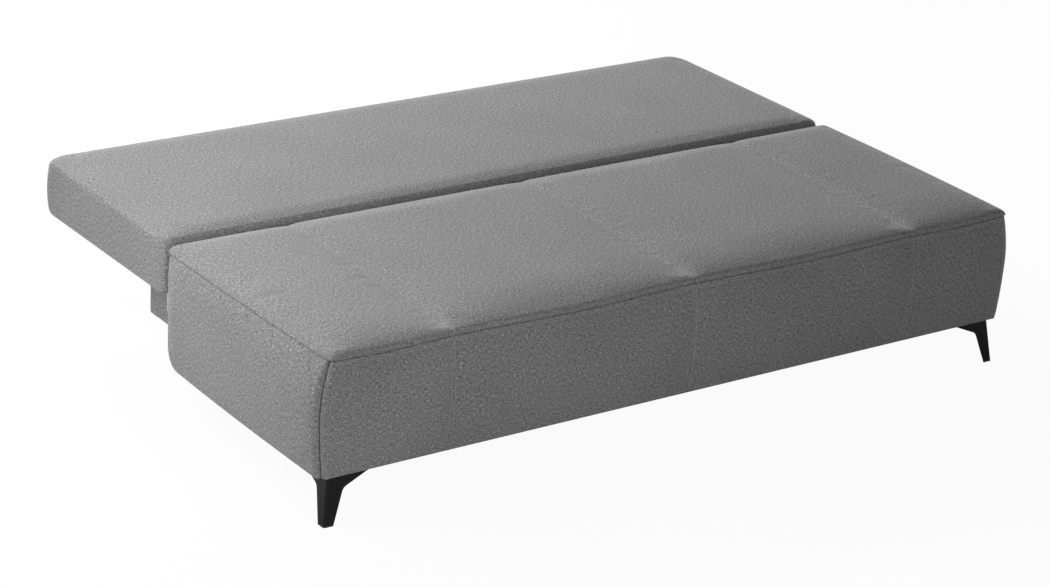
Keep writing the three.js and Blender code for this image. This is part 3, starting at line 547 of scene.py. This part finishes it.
# Bows the ends of the hood out in plan, most between their front and rear
def bowEnds(mesh):
    s = seat
    for vertex in mesh.vertices:
        x, y = vertex.co.xy
        back = min(max((y - s["front"]) / (s["rear"] - s["front"]), 0), 1)
        outward = easing((abs(x) - s["planBowStart"]) / s["planBowRun"])
        bow = s["planBow"] * math.sin(math.pi * s["planBowTurn"] * back) * outward
        vertex.co.x += math.copysign(bow, x)


# How far the front seam hangs at a place along it
def frontSag(x):
    bounds = (-seat["half"], *seat["channels"], seat["half"])
    for start, end, depth in zip(bounds, bounds[1:], seat["frontSag"]):
        if start < x < end:
            return depth * math.sin(math.pi * (x - start) / (end - start)) ** 2
    return 0


# Lets the front seam hang a little between the channels, with the edge above and the panel below it
def letFrontHang(mesh):
    s = seat
    for vertex in mesh.vertices:
        x, y, z = vertex.co
        near = 1 - easing((y - s["front"]) / s["sagReach"])
        low = easing((z - s["sagBottom"]) / s["sagRun"])
        vertex.co.z -= frontSag(x) * near * low


# The sewn channels draw the top down: least at the front edge, most a little behind it
def drawChannels(mesh):
    s = seat
    front, inside, rear = s["channelShares"]
    depth = s["rear"] - s["front"]
    for vertex in mesh.vertices:
        above = vertex.co.z - s["seam"] - s["channelStart"]
        if above <= 0:
            continue
        back = (vertex.co.y - s["front"]) / depth
        begun = easing(back / s["channelFrontRun"])
        ended = easing((back - s["channelRearStart"]) / s["channelRearRun"])
        share = front + (inside - front) * begun + (rear - inside) * ended
        for channel in s["channels"]:
            away = vertex.co.x - channel
            vertex.co.z -= share * above * crease(away, s["channelWidths"])


def seatTop():
    s = seat
    length, depth = 2 * s["half"], s["rear"] - s["front"]
    seams = [c + s["half"] for c in s["channels"]]
    xs = steps(length, s["spacing"], seams, s["seamSteps"], s["endSteps"])
    ys = steps(depth, s["spacing"], (), (), s["endSteps"])
    wide, narrow = s["hiddenSides"]
    inside = {"left": wide, "right": wide, "near": wide, "far": narrow}
    seamLip = 2 * mm  # below it the ends follow the edge's rings too

    def ring(height, inset):
        f, r = s["frontCorner"], s["rearCorner"]
        up = max(height, 0) / s["endRollHeight"]
        rolled = s["endRoll"] * (1 - math.sqrt(1 - up ** 2))
        end = max(inset if height < seamLip else 0, rolled)
        return {"z": s["seam"] + height, "left": end, "right": end, "near": inset, "far": inset,
                "corner": (f, f, r, r)}

    levels = [
        {"z": s["foamBottom"], **inside},
        {"z": s["seam"] - s["hiddenDrop"], **inside},
        *(ring(height * mm, inset * mm) for height, inset in s["edgeRings"]),
    ]
    edgeZ, endStart, crownStart = (levels[-1][key] for key in ("z", "left", "near"))

    def rise(x, y, inner):
        run = s["crownRun"]
        crown = crownShare((
            (x - endStart, s["endRun"]), (length - endStart - x, s["endRun"]),
            (y - crownStart, run), (depth - crownStart - y, s["rearRunShare"] * run),
        ))
        return (s["top"] - edgeZ) * crown + inner * softWave(x, y, *s["wave"])

    piece, face = paddedBody("seat_top_cover", xs, ys, levels, rise)
    piece.data.transform(Matrix.Translation((-s["half"], s["front"], 0)))
    drawChannels(piece.data)
    inflate(piece, freeVertices(face, xs, ys, seams), s["pressure"], s["puff"])
    bowEnds(piece.data)
    letFrontHang(piece.data)
    finishCover(piece, "seat", "seat_cushion")
    postLow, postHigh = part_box("seat_hinge_post_right")
    inwards, outwards = s["slotSides"]
    low = (postLow.x - inwards, postLow.y - s["slotFront"], s["foamBottom"] - cutBelow)
    high = (postHigh.x + outwards, s["rear"] + cutPast, postHigh.z + s["slotOver"])
    cutSlots(piece, low, high)
    return piece


# Panels of the hood, made lying down and then stood up
panel = {
    "bottom": 0.115,
    "thickness": 45 * mm,
    "seamGap": 0.4 * mm,
    "seamSteps": (3 * mm, 8 * mm, 16 * mm),
    "sideSteps": (5 * mm, 12 * mm),
    "lowSteps": (5 * mm,),
    "lowRoll": 7 * mm,
    "highRoll": 3.4 * mm,
    "tuck": 3 * mm,  # how far the hidden side stands in above and below
    "frontBulge": 10 * mm,
    "bulgeSpan": (6 * mm, 9 * mm),  # left out of the bulge's height: below, in all
    "bulgePower": 2.2,
    "bulgeFade": 70 * mm,
    "wave": (0.18, 0.4 * mm),  # the cloth's unevenness: size and height
    "endBow": 30 * mm,  # how far the hood's ends swell out
    "bowHeight": 0.55,  # share of the panel's height at which they swell most
    "bowPower": (1.8, 6),  # how late the swell ends under the seam: at the front, more at the rear
    "rearBowShare": 0.2,
    "lowBowShare": 0.62,  # of the swell that is left at the lower edge
    "seamDepth": 6 * mm,
    "seamWidths": (30 * mm, 8 * mm),
    "seamBow": 5 * mm,
    "seamBowReach": 60 * mm,
    "gatherTop": 0.5,  # share of the corner seam's gather that is left at the top
    "gatherStart": 0.7,  # shares of the panel's height
    "gatherRun": 0.3,
    "gatherFade": 60 * mm,
    "rearLowCorner": 46 * mm,
    "pressure": 2.0,
    "shrink": -0.014,
    "puff": 4.5 * mm,
}
# How a panel's end turns in: its roll along the face, the roll's depth and how far the seam stands in
frontCorner = {"reach": 13 * mm, "depth": 13 * mm, "start": 10 * mm, "mitre": True}
sideCorner = {"reach": 13 * mm, "depth": 10 * mm, "start": 13 * mm, "mitre": True}
rearTurn = {"reach": 30 * mm, "depth": 30 * mm, "start": 0, "mitre": False}
turnShares = (1.0, 0.75, 0.5, 0.28, 0.1, 0.0)


def endInset(below, end):
    if below >= end["depth"]:
        behind = (below - end["depth"]) / (panel["thickness"] - end["depth"])
        return end["start"] + (panel["thickness"] - end["start"]) * behind * end["mitre"]
    turned = 1 - max(below, 0) / end["depth"]
    return end["start"] + end["reach"] * (1 - math.sqrt(1 - turned ** 2))


def hoodPanel(name, length, seams, ends, bulge, seed, corner=squareCorners):
    p = panel
    height = seat["seam"] - p["seamGap"] - p["bottom"]
    xs = steps(length, seat["spacing"], seams, p["seamSteps"], p["sideSteps"])
    ys = steps(height, seat["spacing"], (), (), p["lowSteps"])
    face = p["thickness"]
    turns = {round(end["depth"] * share, 6) for end in ends for share in turnShares}
    levels = []
    for below in [face] + sorted(turns, reverse=True):
        low, high = (p[key] * max(0, 1 - below / p[key]) ** 2 for key in ("lowRoll", "highRoll"))
        tuck = min(max(below - p["lowRoll"], 0), p["tuck"])
        left, right = (endInset(below, end) for end in ends)
        levels.append({
            "z": face - below, "near": low + tuck, "far": high + tuck,
            "left": left, "right": right, "corner": corner,
        })

    def rise(x, y, inner):
        below, both = p["bulgeSpan"]
        up = min(max((y - below) / (height - both), 0), 1)
        swell = bulge * (1 - abs(2 * up - 1) ** p["bulgePower"])
        away = min(x - endInset(0, ends[0]), length - endInset(0, ends[1]) - x)
        swell *= easing(away / p["bulgeFade"])
        draw = sum(p["seamDepth"] * crease(x - seam, p["seamWidths"]) for seam in seams)
        return swell - draw * inner + inner * softWave(x, y, seed, *p["wave"])

    piece, grid = paddedBody(name, xs, ys, levels, rise)
    free = freeVertices(grid, xs, ys, seams)
    inflate(piece, free, p["pressure"], p["puff"], p["shrink"])
    for vertex in piece.data.vertices:
        x, y, z = vertex.co
        up = y / height
        near = max((bell(x - seam, p["seamBowReach"]) for seam in seams), default=0)
        vertex.co.x += seamBow(up) * near
        eased = (1 - p["gatherTop"]) * easing((up - p["gatherStart"]) / p["gatherRun"])
        for end, fromEnd, side in ((ends[0], x, -1), (ends[1], length - x, 1)):
            if end["mitre"]:
                rolled = endInset(face - z, end) if face - z < end["depth"] else end["start"]
                faded = max(0, 1 - max(0, fromEnd - rolled) / p["gatherFade"])
                vertex.co.x += side * eased * (rolled - end["start"]) * faded
    return piece


def seamBow(up):
    return panel["seamBow"] * math.sin(math.pi * min(max(up, 0), 1))


# Swells the hood's ends out: the outer face most, the face towards the frame not at all
def bowedOut(mesh):
    s, p = seat, panel
    power, powerRise = p["bowPower"]
    for vertex in mesh.vertices:
        x, y, z = vertex.co
        up = (z - p["bottom"]) / (s["seam"] - p["bottom"])
        back = (y - s["front"]) / (s["rear"] - s["front"])
        most = p["bowHeight"]
        if up > most:
            swell = 1 - min((up - most) / (1 - most), 1) ** (power + powerRise * back ** 2)
        else:
            swell = 1 - (1 - p["lowBowShare"]) * ((most - up) / most) ** 2
        outward = min(max(1 - (s["half"] - abs(x)) / p["thickness"], 0), 1)
        along = 1 - (1 - p["rearBowShare"]) * back
        vertex.co.x += math.copysign(p["endBow"] * swell * outward * along, x)


def standUp(piece, along, out, corner):
    turn = Matrix((along, (0, 0, 1), out)).transposed().to_4x4()
    piece.data.transform(Matrix.Translation(corner) @ turn)
    bowedOut(piece.data)
    bowEnds(piece.data)
    letFrontHang(piece.data)


def hood():
    s, p = seat, panel
    inner = p["thickness"]
    front = hoodPanel(
        "seat_front_cover", 2 * s["half"], [c + s["half"] for c in s["channels"]],
        (frontCorner, frontCorner), p["frontBulge"], 11.3,
    )
    standUp(front, (1, 0, 0), (0, -1, 0), (-s["half"], s["front"] + inner, p["bottom"]))
    finishCover(front, "seat", "seat_front_panel")
    depth = s["rear"] - s["front"]
    low = p["rearLowCorner"]
    left = hoodPanel(
        "seat_end_cover_left", depth, [], (rearTurn, sideCorner), 0, 4.1, (low, 0, 0, 0),
    )
    standUp(left, (0, -1, 0), (-1, 0, 0), (-s["half"] + inner, s["rear"], p["bottom"]))
    finishCover(left, "seat", "seat_end_panel_left")
    right = hoodPanel(
        "seat_end_cover_right", depth, [], (sideCorner, rearTurn), 0, 6.1, (0, low, 0, 0),
    )
    standUp(right, (0, 1, 0), (1, 0, 0), (s["half"] - inner, s["front"], p["bottom"]))
    finishCover(right, "seat", "seat_end_panel_right")


# Back
back = {
    "half": 1.0,
    "front": 0.0475,
    "rear": 0.6955,
    "bottom": 0.272,
    "top": 0.421,
    "spacing": 14 * mm,
    "edgeSteps": (6 * mm,),
    "crown": 4 * mm,
    "crownRuns": (90 * mm, 50 * mm),  # from the ends, from front and rear
    "wave": (8.2, 0.25, 0.3 * mm),  # the cloth's unevenness: seed, size and height
    # Heights of the side's rings, closest at its edges and at the seam
    "ringHeights": (
        0.2722, 0.2745, 0.279, 0.286, 0.296, 0.309, 0.326, 0.345, 0.364, 0.381,
        0.392, 0.400, 0.406, 0.4095, 0.411, 0.4125, 0.415, 0.417,
    ),
    "hiddenLift": 2 * mm,
    "edgeOver": 3 * mm,  # how far over the crown's edge the side's roll would close
    "frontRadius": 30 * mm,
    "frontInset": 8 * mm,  # keeps the gap to the seat open
    "endRadius": 14 * mm,
    "endSwell": 5 * mm,
    "endRoll": 12 * mm,
    "endRollStart": 1 * mm,
    "endRollHeight": 5 * mm,
    "seam": 0.411,
    "grooveDepth": 2.2 * mm,
    "grooveWidth": 1.2 * mm,
    "wall": 40 * mm,
    "recess": 58 * mm,
    "planRadius": 42 * mm,
    "frontPlanRadius": 24 * mm,
    "pressure": 2.5,
    "puff": 3.5 * mm,
    "fill": 0.9,
    "slotSides": (6 * mm, 9 * mm),  # room about the swing arms: inwards, outwards
    "slotRear": 4 * mm,
    "slotTop": 0.38,
}


def backCover():
    b = back
    length, depth = 2 * b["half"], b["rear"] - b["front"]
    xs = steps(length, b["spacing"], (), (), b["edgeSteps"])
    ys = steps(depth, b["spacing"], (), (), b["edgeSteps"])
    topZ = b["top"] - b["crown"]

    def edge(z, radius):
        gap = min(z - b["bottom"], topZ + b["edgeOver"] - z)
        rest = 1 - min(max(gap / radius, 0), 1)
        return radius * (1 - math.sqrt(max(0, 1 - rest * rest)))

    inside = dict.fromkeys(("left", "right", "near", "far"), b["wall"])
    levels = [
        {"z": b["bottom"] + b["recess"], **inside},
        {"z": b["bottom"] + b["hiddenLift"], **inside},
    ]
    for z in b["ringHeights"]:
        groove = b["grooveDepth"] * bell(z - b["seam"], b["grooveWidth"])
        up = min(max((z - b["bottom"]) / (b["seam"] - b["bottom"]), 0), 1)
        end = edge(z, b["endRadius"]) + groove - b["endSwell"] * math.sin(math.pi * up)
        over = max(z - b["seam"] - b["endRollStart"], 0)
        side = end + b["endRoll"] * over / b["endRollHeight"]
        levels.append({
            "z": z, "left": side, "right": side,
            "near": edge(z, b["frontRadius"]) + b["frontInset"], "far": end,
            "corner": (b["frontPlanRadius"],) * 2 + (b["planRadius"],) * 2,
        })
    last = levels[-1]

    def rise(x, y, inner):
        endRun, sideRun = b["crownRuns"]
        crown = crownShare((
            (x - last["left"], endRun), (length - last["right"] - x, endRun),
            (y - last["near"], sideRun), (depth - last["far"] - y, sideRun),
        ))
        return b["crown"] * crown + inner * softWave(x, y, *b["wave"])

    piece, face = paddedBody("back_cover", xs, ys, levels, rise)
    piece.data.transform(Matrix.Translation((-b["half"], b["front"], 0)))
    inflate(piece, freeVertices(face, xs, ys), b["pressure"], b["puff"])
    finishCover(piece, "back", "back_cushion", fill=b["fill"])
    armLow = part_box("swing_arm_right")[0]
    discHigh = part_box("ratchet_bracket_right")[1]
    inwards, outwards = b["slotSides"]
    low = (armLow.x - inwards, b["front"] - cutPast, b["bottom"] - cutBelow)
    high = (discHigh.x + outwards, discHigh.y + b["slotRear"], b["slotTop"])
    cutSlots(piece, low, high)


seatTopPiece = seatTop()
print("seat top padded")
hood()
print("hood panels padded")
backCover()
print("back padded")


# Boards wrapped in cloth: chest walls and the hood's rear panel, their edges softened by the wrap
wrap = {
    "weld": 0.02 * mm,
    "flat": math.radians(2),  # faces that meet at less are taken as one
    "softEdge": 2.5 * mm,
    "softSteps": 3,
}


def wrappedBoard(node, body, name):
    piece = placed(name, nodes[node].data.copy())
    shell = bmesh.new()
    shell.from_mesh(piece.data)
    bmesh.ops.remove_doubles(shell, verts=shell.verts, dist=wrap["weld"])
    bmesh.ops.dissolve_limit(
        shell, angle_limit=wrap["flat"], verts=shell.verts, edges=shell.edges,
    )
    shell.to_mesh(piece.data)
    shell.free()
    layThreads(piece.data)
    soften = piece.modifiers.new("soft edge", "BEVEL")
    soften.width = wrap["softEdge"]
    soften.segments = wrap["softSteps"]
    soften.limit_method = "ANGLE"
    piece.data.materials.clear()
    piece.data.materials.append(cloth)
    piece.data.polygons.foreach_set("use_smooth", [False] * len(piece.data.polygons))
    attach(piece, body)
    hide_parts(node)


for node, name in (
    ("chest_end_left", "chest_end_wrap_left"), ("chest_end_right", "chest_end_wrap_right"),
    ("chest_front", "chest_front_wrap"), ("chest_rear", "chest_rear_wrap"),
):
    wrappedBoard(node, "chest", name)
wrappedBoard("seat_rear_panel", "seat", "seat_rear_cover")
print("boards wrapped")


# Topstitching: short threads laid on the cloth beside the seams
stitch = {
    "length": 3.4 * mm,
    "spacing": 5.0 * mm,
    "radius": 0.8 * mm,  # drawn coarser than real so that it shows
    "sides": 5,
    "rings": ((-0.5, 0.35), (-0.3, 1.0), (0.3, 1.0), (0.5, 0.35)),  # places along it and widths
    "lift": 0.1,  # of its radius, over the cloth
    "probe": (0.06, 0.12),  # from how far out the cloth is looked for, and how far in
    "topSide": 3.5 * mm,  # beside the channels
    "topMargin": 16 * mm,
    "frontSide": 5 * mm,  # beside the front's seams
    "frontSpan": (0.04, 0.91),  # of the panel's height: from where, how much
    "frontSteps": 12,
    "edgeRows": (6 * mm, 11 * mm),  # under the front edge's seam
    "edgeMargin": 14 * mm,
    "edgeSteps": 80,
}


# Middles and directions of the stitches along a row of points
def placesAlong(path, spacing):
    path = [Vector(p) for p in path]
    places, left = [], spacing / 2
    for start, end in zip(path, path[1:]):
        run = end - start
        along = run.normalized()
        while left <= run.length:
            places.append((start + along * left, along))
            left += spacing
        left -= run.length
    return places


# One stitch from a to b: a round thread with narrowed ends, half sunk in the cloth
def addStitch(threads, a, b, up):
    forward = (b - a).normalized()
    side = forward.cross(up).normalized()
    centre = (a + b) / 2 + up * stitch["lift"] * stitch["radius"]
    sides = stitch["sides"]
    rings = []
    for place, width in stitch["rings"]:
        reach = stitch["radius"] * width
        ring = []
        for k in range(sides):
            angle = 2 * math.pi * k / sides
            offset = (side * math.cos(angle) + up * math.sin(angle)) * reach
            ring.append(threads.verts.new(centre + forward * place * (b - a).length + offset))
        rings.append(ring)
    for low, high in zip(rings, rings[1:]):
        for k in range(sides):
            m = (k + 1) % sides
            threads.faces.new((low[k], low[m], high[m], high[k]))
    threads.faces.new(reversed(rings[0]))
    threads.faces.new(rings[-1])


def stitchRows(name, cover, rows, body):
    surface = BVHTree.FromObject(cover, bpy.context.evaluated_depsgraph_get())
    outside, reach = stitch["probe"]
    threads = bmesh.new()
    for path, out in rows:
        out = Vector(out)
        for middle, along in placesAlong(path, stitch["spacing"]):
            hits = []
            for share in (-0.5, 0.5):
                probe = middle + along * share * stitch["length"] + out * outside
                hit = surface.ray_cast(probe, -out, reach)
                if hit[0] is not None:
                    hits.append(hit)
            if len(hits) == 2:
                up = (hits[0][1] + hits[1][1]).normalized()
                addStitch(threads, hits[0][0], hits[1][0], up)
    bmesh.ops.recalc_face_normals(threads, faces=threads.faces)
    mesh = smoothShaded(meshFrom(name, threads))
    mesh.materials.append(thread)
    piece = placed(name, mesh)
    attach(piece, body)


def evenly(low, run, count):
    return [low + run * k / count for k in range(count + 1)]


def seatStitches():
    s, p, t = seat, panel, stitch
    front, height = s["front"], s["seam"] - p["bottom"]
    ends = (front + t["topMargin"], s["rear"] - t["topMargin"])
    topRows, frontRows = [], []
    for channel in s["channels"]:
        for side in (-t["topSide"], t["topSide"]):
            topRows.append(([(channel + side, y, s["top"]) for y in ends], (0, 0, 1)))
    stitchRows("channel_stitching", seatTopPiece, topRows, "seat")
    reach = s["half"] - t["edgeMargin"]
    for drop in t["edgeRows"]:
        places = evenly(-reach, 2 * reach, t["edgeSteps"])
        path = [(x, front, s["seam"] - drop - frontSag(x)) for x in places]
        frontRows.append((path, (0, -1, 0)))
    for channel in s["channels"]:
        for side in (-t["frontSide"], t["frontSide"]):
            shares = evenly(*t["frontSpan"], t["frontSteps"])
            path = [
                (channel + side + seamBow(u), front, p["bottom"] + height * u) for u in shares
            ]
            frontRows.append((path, (0, -1, 0)))
    stitchRows("front_stitching", bpy.data.objects["seat_front_cover"], frontRows, "seat")


seatStitches()
print("stitching laid")

# Finishes of the pieces that keep their solid
endGrain = sawnBeech("sawn beech, ends", 1)
longGrain = sawnBeech("sawn beech, long", 0)
powder = powderCoatedSteel()
zinc = zincPlatedSteel()
wire = springWire()
hardboard = pressedHardboard()
plastic = mouldedBlack("moulded polypropylene", 0.5, "#161617")
rubber = mouldedBlack("vulcanised rubber", 0.8, "#1b1b1c")
felt = spunBondedFelt()
finishes = {
    "seat_front_rail": longGrain, "seat_rear_rail": longGrain, "seat_end_rail": endGrain,
    "back_front_rail": longGrain, "back_rear_rail": longGrain, "back_end_rail": endGrain,
    "back_base_board": felt, "chest_floor": hardboard,
    "seat_springs": wire, "back_springs": wire,
    "front_leg": powder, "leg_glide": plastic,
    "chest_front_foot": plastic, "chest_rear_foot": plastic,
    "seat_buffer": rubber, "back_buffer": rubber,
}
for name, node in nodes.items():
    base = name.replace("_left", "").replace("_right", "")
    finish = finishes.get(base, zinc)
    node.data.materials.clear()
    node.data.materials.append(finish)
print("finishes set")


# Floor and light
studio = {
    "ambient": 0.1,
    "floorTone": "#f4f4f4",
    "floorWhite": 0.95,  # share of the floor that shows plain white to the eye
    "floorReach": 14,
    "lamps": (  # name, place, target, side, watts
        ("left kicker", (-1.9, -0.1, 1.25), (-0.5, -0.1, 0.35), 1.0, 15),
        ("rear softbox", (-0.4, 4.2, 2.4), (-0.2, 0.0, 0.35), 2.0, 260),
        ("floor wash", (-1.0, -2.6, 1.0), (-1.0, -2.4, 0.0), 1.6, 14),
        ("front fill", (0.4, -4.6, 0.9), (0.0, 0.0, 0.3), 2.0, 10),
        ("right fill", (4.2, 0.6, 0.5), (0.3, -0.1, 0.3), 0.9, 30),
    ),
}


def lamp(name, place, target, size, power):
    data = bpy.data.lights.new(name, "AREA")
    data.shape = "SQUARE"
    data.size = size
    data.energy = power
    light = placed(name, data)
    light.location = place
    light.rotation_euler = (Vector(target) - Vector(place)).to_track_quat("-Z", "Y").to_euler()


def studioFloor():
    material = newMaterial("pale studio floor")
    rays = addNode(material, "ShaderNodeLightPath")
    seen = addNode(
        material, "ShaderNodeMath", {"operation": "MULTIPLY", 1: studio["floorWhite"]},
        {0: rays.outputs["Is Camera Ray"]},
    ).outputs[0]
    tone = linear(studio["floorTone"])
    lit = addNode(material, "ShaderNodeBsdfDiffuse", {"Color": tone}).outputs[0]
    glow = addNode(
        material, "ShaderNodeEmission", {"Color": (1, 1, 1, 1), "Strength": 1.0},
    ).outputs[0]
    mixed = addNode(material, "ShaderNodeMixShader", {}, {0: seen, 1: lit, 2: glow}).outputs[0]
    addNode(material, "ShaderNodeOutputMaterial", {}, {"Surface": mixed})
    body = bmesh.new()
    bmesh.ops.create_grid(body, x_segments=1, y_segments=1, size=studio["floorReach"])
    mesh = meshFrom("floor", body)
    mesh.materials.append(material)
    floor = placed("floor", mesh)


def studioWorld():
    world = bpy.data.worlds.new("studio")
    bpy.context.scene.world = world
    world.use_nodes = True
    world.node_tree.nodes.clear()
    rays = addNode(world, "ShaderNodeLightPath")
    shown = addNode(
        world, "ShaderNodeMath", {"operation": "MAXIMUM"},
        {0: rays.outputs["Is Camera Ray"], 1: rays.outputs["Is Glossy Ray"]},
    ).outputs[0]
    shown = addNode(
        world, "ShaderNodeMath", {"operation": "MAXIMUM"},
        {0: shown, 1: rays.outputs["Is Transmission Ray"]},
    ).outputs[0]
    dim, plain = (
        addNode(
            world, "ShaderNodeBackground", {"Color": (1, 1, 1, 1), "Strength": strength},
        ).outputs[0]
        for strength in (studio["ambient"], 1.0)
    )
    mixed = addNode(world, "ShaderNodeMixShader", {}, {0: shown, 1: dim, 2: plain}).outputs[0]
    addNode(world, "ShaderNodeOutputWorld", {}, {"Surface": mixed})


studioFloor()
studioWorld()
for one in studio["lamps"]:
    lamp(*one)
bpy.context.scene.view_settings.view_transform = "Standard"

# Camera at the photograph's angle
camera = {
    "place": (-4.1552, -5.7356, 3.0300),
    "yaw": 35.98,
    "pitch": 22.34,
    "roll": 3.51,
    "lens": 102.94,
    "sensor": 36,
}


def addCamera():
    yaw, pitch, roll = (math.radians(camera[k]) for k in ("yaw", "pitch", "roll"))
    level, drop = math.cos(pitch), -math.sin(pitch)
    ahead = Vector((math.sin(yaw) * level, math.cos(yaw) * level, drop))
    across = Vector((math.cos(yaw), -math.sin(yaw), 0))
    upright = across.cross(ahead)
    right = across * math.cos(roll) + upright * math.sin(roll)
    up = -across * math.sin(roll) + upright * math.cos(roll)
    data = bpy.data.cameras.new("camera")
    data.sensor_fit = "HORIZONTAL"
    data.sensor_width = camera["sensor"]
    data.lens = camera["lens"]
    eye = placed("camera", data)
    eye.matrix_world = Matrix((right, up, -ahead)).transposed().to_4x4()
    eye.location = camera["place"]
    bpy.context.scene.camera = eye


addCamera()
print("light and camera set")
